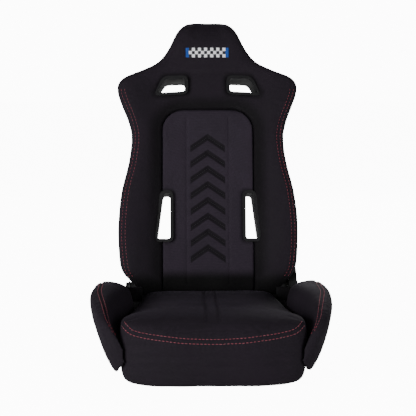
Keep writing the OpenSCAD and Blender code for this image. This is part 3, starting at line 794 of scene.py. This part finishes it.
def cover_pins(obj):
    """Held at the slots, the insert's pocket, the hem at the rear and the lower edge."""
    b = to_back(coords(obj))
    xu = b[:, [0, 2]]
    pocket, inside = outline_distance(xu, insert_outline(0))
    return np.maximum.reduce([
        edge_fade(slot_gap(xu, BEZEL_WALL), 9, 26), edge_fade(pocket, 5, 22), inside * 1.0,
        edge_fade(b[:, 1], -6, 6), edge_fade(b[:, 2], 14, 44), edge_fade(side_seam_distance(b), 2, 9),
    ])


SIDE_SEAM_INSET, SIDE_SEAM_LOW, SIDE_SEAM_HIGH = 17.0, 14.0, 520.0


def side_seam_x(u):
    return smooth(OUTLINE, u) - SIDE_SEAM_INSET


def side_seam_distance(b):
    """Distance in mm, across the seat, from the seam along each wing's outer edge."""
    along = np.arange(-30, 700, 5.0)
    off = np.abs(np.abs(b[:, 0]) - np.interp(b[:, 2], along, [side_seam_x(u) for u in along]))
    off[(b[:, 2] < SIDE_SEAM_LOW) | (b[:, 2] > SIDE_SEAM_HIGH) | (b[:, 1] < 0)] = 1e3
    return off


INSERT_RIB = 55.0


def chevron_lines():
    """Both arms of each sewn chevron, as (x, u) ends."""
    tops = [CHEVRON_TOP - k * CHEVRON_PITCH for k in range(CHEVRON_COUNT)]
    return [[(0.0, top), (side * CHEVRON_HALF, top - CHEVRON_DROP)] for top in tops for side in (1, -1)]


def make_insert():
    """The centre panel: the foam inside its outline, which rolls under at its foot."""
    stations = np.concatenate([np.arange(-30, 0, 2.0), np.arange(0, INSERT_TOP + 8, 6)])
    obj = loft("backrest_insert_pad", [
        from_back([(x, v, u) for x, v in back_ring(u, INSERT_SHRINK)]) for u in stations
    ])
    cut(obj, [back_prism("cutter", even_outline(insert_outline(-3)), RECESS_FLOOR + 1.5, 90)], "INTERSECT")
    cut(obj, slot_cutters(BEZEL_WALL - SLOT_TUCK))
    return remesh(obj, INSERT_VOXEL, 6)


def even_outline(outline, n=220):
    """The closed outline as n evenly spaced points."""
    p = np.array([*outline, outline[0]], float)
    run = run_of(p)
    return point_at(np.arange(n) / n * run[-1], run, p).T


def insert_pins(obj):
    b = to_back(coords(obj))
    xu = b[:, [0, 2]]
    rim, _ = outline_distance(xu, insert_outline(0))
    seams = [outline_distance(xu, line, closed=False)[0] for line in chevron_lines()]
    rib = edge_fade(np.abs(np.abs(xu[:, 0]) - INSERT_RIB), 2, 6) * (xu[:, 1] < INSERT_TOP - 20)
    return np.maximum.reduce([
        edge_fade(b[:, 1], 10, 18), edge_fade(slot_gap(xu, BEZEL_WALL), 4, 14), edge_fade(rim, 4, 12),
        *[edge_fade(d, 2.5, 7) for d in seams], rib,
    ])


# ---------- upholstery of the base ----------

CUSHION_SHRINK, CUSHION_VOXEL = 2.5, 6.0
BOLSTER_SHRINK, BOLSTER_VOXEL = 1.6, 5.0
# The upright flap that joins a bolster's rear end to the cushion's rear corner
GUSSET_X, GUSSET_Y, GUSSET_Z = (164.0, 236.0), (77.0, 87.0), (124.0, 163.0)
MIDDLE_SWEEP, WING_SWEEP, BOLSTER_SWEEP, MIDDLE_HALF, WING_HALF = 78.0, 104.0, 116.0, 112.0, 237.0
SIDE_WORD = {1: "right", -1: "left"}


def make_cushion():
    stations = np.concatenate([
        np.arange(-295 + CUSHION_SHRINK, -270, 2.0), np.arange(-270, -214, 4.0), [-213, -210.5, -207],
        np.arange(-200, 134.1, 6.0), [134],
    ])
    obj = loft("cushion_upholstery", [
        upright(cushion_ring(y, CUSHION_SHRINK * edge_fade(y, 60, 130)), y) for y in stations
    ])
    wings = [rod_at_pivot("cutter", MIDDLE_HALF * s, 250 * s, WING_SWEEP) for s in (1, -1)]
    cut(obj, [rod_at_pivot("cutter", -250, 250, MIDDLE_SWEEP), *wings])
    return remesh(obj, CUSHION_VOXEL, 4)


# The seam across the cushion's rolled front, as (x, z) seen from the front, from the middle outwards
SMILE = [(0, 110), (60, 112), (108, 117), (145, 121), (183, 128), (205, 142)]


def smile_points():
    t = np.linspace(0, len(SMILE) - 1, 60)
    right = np.array([[smooth(list(enumerate(axis)), a) for axis in zip(*SMILE)] for a in t])
    return np.concatenate([(right * (-1, 1))[:0:-1], right])


def cushion_pins(obj):
    p = coords(obj) / MM
    x, y, z = np.abs(p[:, 0]), p[:, 1], p[:, 2]
    half = np.array([smooth(CUSHION_HALF, v) for v in y])
    seam, _ = outline_distance(p[:, [0, 2]], smile_points(), closed=False)
    return np.maximum.reduce([
        edge_fade(z, FOAM_FLOOR + 2, FOAM_FLOOR + 22) * (y > -212), edge_fade(z, 8, 26),
        edge_fade(half - x, 3, 14) * (y > -250) * (z < 150), edge_fade(-y, -90, -60),
        edge_fade(seam, 3, 12) * (y < -215),
    ])


def make_bolster(side):
    stations = np.concatenate([np.arange(-270, -240, 2.5), np.arange(-240, 130, 5.0), [130, 132, 134]])
    rings = [upright(bolster_ring(y, BOLSTER_SHRINK), y) for y in stations]
    obj = loft("bolster_upholstery_" + SIDE_WORD[side], rings)
    pan = [(-225, -10), (-225, FOAM_FLOOR), (260, FOAM_FLOOR), (260, -10)]
    plan = [(0, CUSHION_REAR), (0, -300), *[(w + 0.6, y) for y, w in CUSHION_HALF]]
    cutters = [
        rod_at_pivot("cutter", 0, WING_HALF, BOLSTER_SWEEP),
        loft("cutter", [np.array([(x, y, z) for y, z in pan]) * MM for x in (-1, PAN_OUT - 1)]),
        loft("cutter", [np.array([(x, y, z) for x, y in plan]) * MM for z in (-5, 400)]),
    ]
    cut(obj, cutters)
    (x0, x1), (z0, z1) = GUSSET_X, GUSSET_Z
    gusset = [upright([(x0, z0), (x0, z1), (x1, z1), (x1, z0)], y) for y in GUSSET_Y]
    cut(obj, [loft("cutter", gusset)], "UNION")
    remesh(obj, BOLSTER_VOXEL, 4)
    if side < 0:
        set_coords(obj, coords(obj) * (-1, 1, 1))
        face_outward(obj)
    return obj


# The seam along each bolster, as (y, share of the way over from its inner edge to its outer)
BOLSTER_SEAM = [(-262, 0.42), (-220, 0.5), (-160, 0.6), (-90, 0.7), (-20, 0.76), (50, 0.8), (110, 0.8)]


def bolster_seam(side):
    out = []
    for y in np.arange(-262, 112, 4.0):
        i, o = smooth(BOLSTER_IN, y), smooth(BOLSTER_OUT, y)
        out.append((side * (i + (o - i) * smooth(BOLSTER_SEAM, y)), y))
    return np.array(out)


def bolster_pins(obj, side):
    p = coords(obj) / MM
    x, y, z = p[:, 0] * side, p[:, 1], p[:, 2]
    inner = np.array([smooth(CUSHION_HALF, v) for v in y])
    low = np.array([smooth(BOLSTER_LOW, v) for v in y])
    seam, _ = outline_distance(p[:, :2], bolster_seam(side), closed=False)
    return np.maximum.reduce([
        edge_fade(x - inner, 3, 14) * (z < 150), edge_fade(z - low, 6, 24), edge_fade(-y, -112, -70),
        edge_fade(seam, 3, 11) * (z > 100),
    ])


def keep_clear(obj, middle, wing, wing_from, wing_to):
    """Push base foam out of the space that the backrest's lower edge sweeps: middle and wing are its radii."""
    co = coords(obj)
    x = np.abs(co[:, 0]) / MM
    off = co[:, 1:] - np.array([PIVOT_Y, PIVOT_Z]) * MM
    r = np.linalg.norm(off, axis=1) / MM
    need = np.where(x < wing_from, middle, np.where(x < wing_to, wing, 0))
    push = np.clip(need - r, 0, None)
    co[:, 1:] += off / np.maximum(r[:, None] * MM, 1e-9) * push[:, None] * MM
    set_coords(obj, co)


def keep_in_plan(obj, gap, outside):
    """Hold the cushion inside its plan outline, or a bolster outside it."""
    co = coords(obj)
    limit = np.array([smooth(CUSHION_HALF, y / MM) for y in co[:, 1]]) * MM + gap * MM
    x, sign = np.abs(co[:, 0]), np.sign(co[:, 0])
    touch = (co[:, 1] < CUSHION_REAR * MM) & (co[:, 1] > -262 * MM)
    past = x < limit if outside else x > limit
    co[:, 0] = np.where(touch & past, sign * limit, co[:, 0])
    set_coords(obj, co)


def wrinkle(obj, amount):
    """Move each point along its normal by amount(row point in mm), in mm."""
    co, no = coords(obj), coords(obj, "normal")
    for i in range(len(co)):
        a = amount(co[i] / MM)
        if a:
            co[i] += no[i] * a * MM
    set_coords(obj, co)


def mark_painted_shade(obj, depth):
    """Store how much painted shade each point gets, in its fold attribute, which the cloth shows as a darker
    tone.
    """
    layer = obj.data.attributes.new("fold", "FLOAT", "POINT")
    layer.data.foreach_set("value", np.asarray(depth(coords(obj)), np.float32))


def cover_painted_shade(p):
    # Painted shade on the cover: darker round the insert's recess and the harness slots on its front, and
    # darkest at the backrest's foot.
    b = to_back(p)
    rim, _ = outline_distance(b[:, [0, 2]], insert_outline(0))
    front = b[:, 1] > 4
    near = np.maximum(0.75 * edge_fade(rim, 8, 44), 0.55 * edge_fade(slot_gap(b[:, [0, 2]]), 9, 22))
    return np.maximum(near * front, 0.95 * edge_fade(b[:, 2], 4, 44))


def insert_painted_shade(p):
    # Painted shade on the insert: darker round the harness slots and at its rolled foot.
    b = to_back(p)
    return np.maximum(0.5 * edge_fade(slot_gap(b[:, [0, 2]]), 8, 18), edge_fade(b[:, 2], 14, 46))


def seat_painted_shade(p):
    # Painted shade on the cushion: darker towards its rear, under the backrest.
    return edge_fade(-p[:, 1] / MM, -66, 50)


def bolster_painted_shade(p):
    # Painted shade on the bolsters: darker towards their rear, fading out at their outer edge.
    return 0.85 * edge_fade(-p[:, 1] / MM, -90, 60) * edge_fade(abs(p[:, 0]) / MM, 222, 268)


def drawn(amount, scale):
    """Slow hills and hollows of cloth over foam."""
    return lambda p: amount * noise.noise(Vector((p[0] / scale, p[1] / scale, p[2] / scale)))


FRONT_FOLDS = [(96, 2.0, 9.0, 0.4), (74, 2.6, 8.0, 1.9), (52, 2.2, 8.5, 3.1), (34, 1.4, 7.0, 4.6)]


def cushion_folds(p):
    """Hollows of the slack cloth across the rolled front, and slow hills on the seat."""
    x, y, z = p
    out = drawn(1.1, 55)(p)
    if y < -255:
        for height, depth, width, seed in FRONT_FOLDS:
            line = height + 7 * noise.noise(Vector((x / 70, seed, 0)))
            fade = max(0.0, 0.5 + 0.9 * noise.noise(Vector((x / 60, seed, 5))))
            out -= depth * fade * math.exp(-(((z - line) / width) ** 2))
    return out


# ---------- build the soft pieces ----------

cover = make_cover()
insert = make_insert()
cushion = make_cushion()
bolsters = {side: make_bolster(side) for side in (1, -1)}

inflate([
    (cover, cover_pins(cover), 7.0),
    (insert, insert_pins(insert), 4.5),
    (cushion, cushion_pins(cushion), 11.0),
    *[(b, bolster_pins(b, side), 8.0) for side, b in bolsters.items()],
])
keep_in_plan(cushion, -0.4, outside=False)
for b in bolsters.values():
    keep_in_plan(b, 0.8, outside=True)

for piece in (cover, insert, cushion, *bolsters.values()):
    subdivide(piece)
    shade(piece)


def front_rays(xu):
    """Places well in front of the backrest's points (x, u), and the way back to them."""
    places = from_back([(x, 40, u) for x, u in xu])
    way = from_back([(0, -1, 0)])[0] - from_back([(0, 0, 0)])[0]
    return places, [way] * len(places)


def down_rays(xy):
    places = [(x * MM, y * MM, 0.17) for x, y in xy]
    return places, [(0, 0, -1)] * len(places)


def rear_rays(xz):
    """Places ahead of the cushion's front, and the level way back to it."""
    places = [(x * MM, CUSHION_FRONT * MM, z * MM) for x, z in xz]
    return places, [(0, 1, 0)] * len(places)


def offset_line(points, gap):
    """A polyline moved sideways in its own plane by gap."""
    p = np.asarray(points, float)
    d = np.gradient(p, axis=0)
    side = np.stack([-d[:, 1], d[:, 0]], 1) / np.linalg.norm(d, axis=1, keepdims=True)
    return p + side * gap


def sew(name, rows, side_thread, slot, body, **size):
    place(stitches(name, rows, **size), slot, body, materials=(side_thread,))


def finish_cushion():
    wrinkle(cushion, cushion_folds)
    # painted shade towards the cushion's rear
    mark_painted_shade(cushion, seat_painted_shade)
    skin = Skin(cushion)
    smile = smile_points()
    skin.press(rear_rays(smile), 2.6, 3.6, pucker=1.0, pitch=19, reach=14, seed=0.7)
    for x in (-14, 14):
        skin.press(down_rays([(x, y) for y in np.arange(-262, 96, 4.0)]), 1.8, 3.2)
    skin.refresh()
    rows = [skin.lay(rear_rays(offset_line(smile, g))) for g in (-5.5, 5.5)]
    sew("cushion_stitches", rows, RED_THREAD, "cover_fabric", "base", width=1.35)


def finish_bolster(side):
    obj = bolsters[side]
    wrinkle(obj, drawn(0.9, 48))
    # painted shade towards the bolster's rear
    mark_painted_shade(obj, bolster_painted_shade)
    skin = Skin(obj)
    line = bolster_seam(side)
    skin.press(down_rays(line), 2.6, 3.6, pucker=0.9, pitch=17, reach=13, seed=side)
    skin.refresh()
    rows = [skin.lay(down_rays(offset_line(line, g))) for g in (-4.5, 4.5)]
    sew("bolster_stitches_" + SIDE_WORD[side], rows, RED_THREAD, "cover_fabric", "base", width=1.3)


def finish_cover():
    wrinkle(cover, drawn(1.0, 60))
    # painted shade round the insert, the slots and the backrest's foot
    mark_painted_shade(cover, cover_painted_shade)
    skin = Skin(cover)
    for side in (1, -1):
        line = [(side * side_seam_x(u), u) for u in np.arange(SIDE_SEAM_LOW, SIDE_SEAM_HIGH, 5.0)]
        skin.press(front_rays(line), 2.2, 3.2, pucker=0.8, pitch=21, reach=15, seed=side)
    skin.refresh()
    heights = np.arange(SIDE_SEAM_LOW + 6, SIDE_SEAM_HIGH, 4.0)
    rows = [
        skin.lay(front_rays([(side * (side_seam_x(u) + gap), u) for u in heights]))
        for side in (1, -1)
        for gap in (-4.6, 4.6)
    ]
    sew("wing_stitches", rows, RED_THREAD, "cover_fabric", "backrest", length=5.4, width=1.0)


def along_line(line, start, end, n=14):
    """Places on a straight line (x, u), from one share of its length to another."""
    (x0, u0), (x1, u1) = line
    return [(x0 + (x1 - x0) * t, u0 + (u1 - u0) * t) for t in np.linspace(start, end, n)]


def finish_insert():
    # painted shade round the slots and at the insert's foot
    mark_painted_shade(insert, insert_painted_shade)
    skin = Skin(insert)
    for line in chevron_lines():
        skin.press(front_rays(along_line(line, 0.02, 1)), 1.8, 7.0)
    for x in (-INSERT_RIB, INSERT_RIB):
        skin.press(front_rays([(x, u) for u in np.arange(4, INSERT_TOP - 22, 5.0)]), 1.8, 2.6)
    skin.refresh()
    rows = [skin.lay(front_rays(along_line(line, 0.04, 0.98))) for line in chevron_lines()]
    sew("chevron_stitches", rows, BLACK_THREAD, "insert_fabric", "backrest", length=4.0, pitch=5.6, width=1.2)


finish_cushion()
for side in bolsters:
    finish_bolster(side)
finish_cover()
finish_insert()
keep_clear(cushion, MIDDLE_SWEEP, WING_SWEEP, MIDDLE_HALF, WING_HALF + 1)
for b in bolsters.values():
    keep_clear(b, 0, BOLSTER_SWEEP, 0, WING_HALF)

for piece, slot, body, node, fill in (
    (cover, "cover_fabric", "backrest", "backrest_cover", 0.7),
    (insert, "insert_fabric", "backrest", "backrest_insert", 0.6),
    (cushion, "cover_fabric", "base", "seat_cushion", 0.7),
    (bolsters[1], "cover_fabric", "base", "bolster_right", 0.7),
    (bolsters[-1], "cover_fabric", "base", "bolster_left", 0.7),
):
    place(piece, slot, body, node)


# ---------- emblem ----------

PATCH_HALF, PATCH_U, PATCH_TALL = 56.0, 608.0, 25.0
EMBLEM_BLUE = (0, 13)


def make_emblem():
    """A woven strip with a plain chequered band, curved on to the head."""
    nx, nu = 56, 12
    xs = np.linspace(-PATCH_HALF, PATCH_HALF, nx + 1)
    us = np.linspace(PATCH_U - PATCH_TALL / 2, PATCH_U + PATCH_TALL / 2, nu + 1)
    hits = Skin(cover).lay(front_rays([(x, u) for u in us for x in xs]))
    tops = [h + n * 1.3 * MM for h, n in hits]
    feet = [h - n * 0.8 * MM for h, n in hits]
    n = nx + 1
    count = n * (nu + 1)
    cells = [(i, j) for j in range(nu) for i in range(nx)]
    corners = [j * n + i for i, j in cells]
    rim = [*range(n), *[j * n + nx for j in range(1, nu + 1)]]
    rim += [*[nu * n + i for i in range(nx - 1, -1, -1)], *[j * n for j in range(nu - 1, 0, -1)]]
    faces = [(a, a + 1, a + n + 1, a + n) for a in corners]
    faces += [(b, a, a + count, b + count) for a, b in zip(rim, rim[1:] + rim[:1])]
    faces += [(a + count, a + count + n, a + count + n + 1, a + count + 1) for a in corners]
    kinds = [emblem_tone(i, j) for i, j in cells]
    kinds += [1] * (len(faces) - len(kinds))
    obj = new_object("emblem_strip", tops + feet, faces)
    place(obj, "emblem_cloth", "backrest", "emblem_patch", (MATERIALS["emblem_cloth"], DARK_CLOTH, BLUE_CLOTH))
    obj.data.polygons.foreach_set("material_index", kinds)
    face_outward(obj)


def emblem_tone(i, j):
    """0 white, 1 dark, 2 blue: a plain chequered band with blue ends, in squares of four cells."""
    column, row = i // 4, j // 4
    if column in EMBLEM_BLUE:
        return 2
    return (column + row) % 2


make_emblem()


# ---------- hard parts ----------

PANEL_HALF, PANEL_LOW, PANEL_HIGH, PANEL_SINK = 74.0, 66.0, 474.0, 3.2
PANEL_RIBS, SHELL_WALL = (203.0, 338.0), 3


def panel_sink(x, u):
    """Depth of the rear shell's sunk middle panel, with rounded sides, and its two cross ribs."""
    inside = edge_fade(abs(x), PANEL_HALF - 9, PANEL_HALF) * edge_fade(-u, -PANEL_LOW - 9, -PANEL_LOW)
    inside *= edge_fade(u, PANEL_HIGH - 9, PANEL_HIGH)
    ribs = sum(edge_fade(abs(u - rib), 3, 9) for rib in PANEL_RIBS)
    return PANEL_SINK * inside * (1 - 0.8 * min(1.0, ribs))


def shell_ring(u, inset):
    w, d = smooth(OUTLINE, u) - 9 - inset, smooth(SHELL_DEPTH, u) - inset
    flat = min(w - 30, 82.0)
    back = [(x, -d + panel_sink(x, u)) for x in np.linspace(2, flat, 24)]
    half = [
        *back, (w - 30, -d), (w - 12, -d * 0.98), (w - 4, -d * 0.86), (w, -d * 0.62), (w, -d * 0.4), (w, -18.4),
    ]
    return np.asarray(mirrored(half), float)


def make_shell():
    """Moulded rear tray, open towards the foam, with a sunk panel in the middle of its back."""
    stations = [18, 20, 24, *np.arange(30, 680, 4.0), 680, 683, 686]
    outer = loft("shell_moulding", [from_back([(x, v, u) for x, v in shell_ring(u, 0)]) for u in stations])
    inner_u = [10, *[u for u in stations if 20 < u < 682], 683]
    inner = loft("cutter", [
        from_back([(x, v if v < -18 else -10, u) for x, v in shell_ring(u, SHELL_WALL)]) for u in inner_u
    ])
    cut(outer, [inner, *slot_cutters(BEZEL_WALL), *hinge_cutters(HINGE_ROOM - 1)])
    shade(outer)
    place(outer, "shell_plastic", "backrest", "back_shell")


def wire(name, paths, body, node):
    """Round bent spring wire along each path of row points."""
    verts, faces, sides = [], [], 10
    for path in paths:
        p = np.asarray(path, float)
        along = np.gradient(p, axis=0)
        along /= np.linalg.norm(along, axis=1, keepdims=True)
        flat = np.cross(along[0], along[len(p) // 9])
        flat /= np.linalg.norm(flat)
        across = np.cross(along, flat)
        base = len(verts)
        for at, side in zip(p, across):
            for k in range(sides):
                a = 2 * math.pi * k / sides
                verts.append(at + (side * math.cos(a) + flat * math.sin(a)) * (SPRING_WIRE / 2) * MM)
        faces += tube_faces(base, len(p), sides)
    obj = solid(name, verts, faces)
    shade(obj)
    place(obj, "spring_steel", body, node)


def zigzag(start, end, amplitude, waves=7, steps=280):
    """(along, across) of a sinuous spring from start to end."""
    t = np.linspace(0, 1, steps + 1)
    return start + (end - start) * t, amplitude * np.sin(2 * math.pi * waves * t)


def make_springs():
    y, x = zigzag(TUBE_FRONT_Y - 5, TUBE_REAR_Y + 5, 22.0)
    z = np.full(len(y), SPRING_Z + SPRING_WIRE / 2)
    seat = [np.stack([x + at, y, z], 1) * MM for at in SPRING_X]
    wire("seat_zigzag_springs", seat, "base", "seat_springs")
    x, u = zigzag(-BACK_SPRING_SPAN, BACK_SPRING_SPAN, 20.0)
    back = [from_back(np.stack([x, np.full(len(x), BACK_SPRING_V), u + at], 1)) for at in BACK_SPRING_U]
    wire("back_zigzag_springs", back, "backrest", "back_springs")


def make_felt():
    """The pressed pad over the springs: a slab in the CAD pad's box, unevenly thick by noise, with soft thin
    edges.
    """
    low, high = (np.array(v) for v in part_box("felt_pad"))
    plan = soft_corners([(low[0], low[1]), (high[0], low[1]), (high[0], high[1]), (low[0], high[1])], 0.018)
    obj = loft("felt_layer", [np.array([(x, y, z) for x, y in plan]) for z in (low[2], high[2])])
    remesh(obj, 2.6, 1)
    co = coords(obj)
    middle = (low[2] + high[2]) / 2
    rim = np.minimum(np.minimum(co[:, 0] - low[0], high[0] - co[:, 0]),
                     np.minimum(co[:, 1] - low[1], high[1] - co[:, 1])) / MM
    thin = 1 - 0.55 * edge_fade(rim, 0, 7)
    rough = np.array([0.5 * noise.noise(Vector(c) * 90) for c in co])
    co[:, 2] = middle + (co[:, 2] - middle) * (thin - 0.12 + 0.12 * rough)
    set_coords(obj, co)
    shade(obj)
    place(obj, "felt", "base", "felt_pad")


def round_edges(node, width, segments):
    """Small radii on a CAD node's edges, which catch the light."""
    obj = NODES[node]
    flat = obj.modifiers.new("flat", "DECIMATE")
    flat.decimate_type, flat.angle_limit = "DISSOLVE", math.radians(1)
    bevel = obj.modifiers.new("edge", "BEVEL")
    bevel.width, bevel.segments = width * MM, segments
    bevel.limit_method, bevel.angle_limit = "ANGLE", math.radians(35)
    bevel.harden_normals = True
    obj.modifiers.new("weigh", "WEIGHTED_NORMAL").keep_sharp = True


record_slots = {s["node"]: s["material_slot"] for s in frame["record"]["subparts"]}
for name, obj in NODES.items():
    for socket in obj.material_slots:
        socket.link = "OBJECT"
        socket.material = MATERIALS[record_slots[name]]

PAIRED_EDGES = {
    "shoulder_bezel": 1.6, "waist_bezel": 1.6, "side_trim": 1.4, "bracket": 0.6, "rail": 0.8, "side_plate": 0.6,
    "arm": 0.6,
}
SINGLE_EDGES = {
    "rear_bezels": 1.0, "back_apron": 0.8, "recliner_cover": 1.2, "lever_plate": 0.8, "pivot_cap": 0.8,
    "bracket_bolts": 0.4, "arm_bolts": 0.4,
}
for name, width in PAIRED_EDGES.items():
    for word in SIDE_WORD.values():
        round_edges(f"{name}_{word}", width, 3 if "bezel" in name else 2)
for name, width in SINGLE_EDGES.items():
    round_edges(name, width, 2)
make_shell()
make_springs()
make_felt()


# ---------- stage, light and camera ----------

AMBIENT, BACKDROP, FLOOR_GLOW = 0.1, 12.0, 11.5
EYE, TARGET = Vector((-0.09, -3.0, 0.77)), Vector((-0.006, 0.03, 0.368))
FOCUS_PX, FRAME_PX, SENSOR_MM, SHIFT = 1240.0, 416.0, 36.0, (0.0014, 0.0019)


def make_floor():
    n, r = 96, 14.0
    rim = [(r * math.cos(a), r * math.sin(a)) for a in (2 * math.pi * i / n for i in range(n))]
    faces = [(0, i + 1, (i + 1) % n + 1) for i in range(n)]
    floor = new_object("floor", [(x, y, -0.0005) for x, y in [(0, 0), *rim]], faces)
    m = Shader("studio floor").put(Specular_IOR_Level=0.1)
    m.colour(m.mottled(m.noise(2.0), (0.86, 0.86, 0.86), (0.89, 0.89, 0.89)))
    m.scuffed(m.noise(3.0), 0.85, 0.95).put(Emission_Color=(1, 1, 1, 1))
    glow = m.nodes.new("ShaderNodeLightPath").outputs["Is Camera Ray"]
    m.links.new(m.ramp(glow, 0, 1, 0.0, FLOOR_GLOW), m.bsdf.inputs["Emission Strength"])
    floor.data.materials.append(m.material)


def aimed(name, data, at, aim):
    """A light or camera in the scene at a place, turned to look at another."""
    obj = bpy.data.objects.new(name, data)
    obj.location = at
    obj.rotation_euler = (Vector(aim) - Vector(at)).to_track_quat("-Z", "Y").to_euler()
    bpy.context.scene.collection.objects.link(obj)
    return obj


def soft_box(name, at, aim, size, power):
    data = bpy.data.lights.new(name, "AREA")
    data.shape, data.energy = "RECTANGLE", power
    data.size, data.size_y = size
    aimed(name, data, at, aim)


def make_light():
    """A pale surround that the camera sees brighter than the soft light it gives, and four soft boxes."""
    world = bpy.data.worlds.new("studio")
    world.use_nodes = True
    nodes, links = world.node_tree.nodes, world.node_tree.links
    back = nodes["Background"]
    back.inputs["Color"].default_value = (1, 1, 1, 1)
    path, pick = nodes.new("ShaderNodeLightPath"), nodes.new("ShaderNodeMapRange")
    pick.inputs["To Min"].default_value, pick.inputs["To Max"].default_value = AMBIENT, BACKDROP
    links.new(path.outputs["Is Camera Ray"], pick.inputs["Value"])
    links.new(pick.outputs["Result"], back.inputs["Strength"])
    bpy.context.scene.world = world
    soft_box("left box", (-2.4, -2.2, 0.9), (0, 0, 0.45), (1.7, 1.5), 140)
    soft_box("right box", (2.4, -2.0, 0.9), (0, 0, 0.45), (1.7, 1.5), 50)
    soft_box("front box", (0.3, -4.2, 0.7), (0, 0, 0.5), (2.2, 1.2), 14)
    soft_box("rear box", (0.8, 3.0, 1.8), (0, 0.3, 0.4), (2.2, 1.6), 45)


def make_camera():
    data = bpy.data.cameras.new("camera")
    data.sensor_width, data.lens = SENSOR_MM, FOCUS_PX / FRAME_PX * SENSOR_MM
    data.shift_x, data.shift_y = SHIFT
    data.dof.use_dof = False
    bpy.context.scene.camera = aimed("camera", data, EYE, TARGET)


make_floor()
make_light()
make_camera()

bpy.context.view_layer.update()
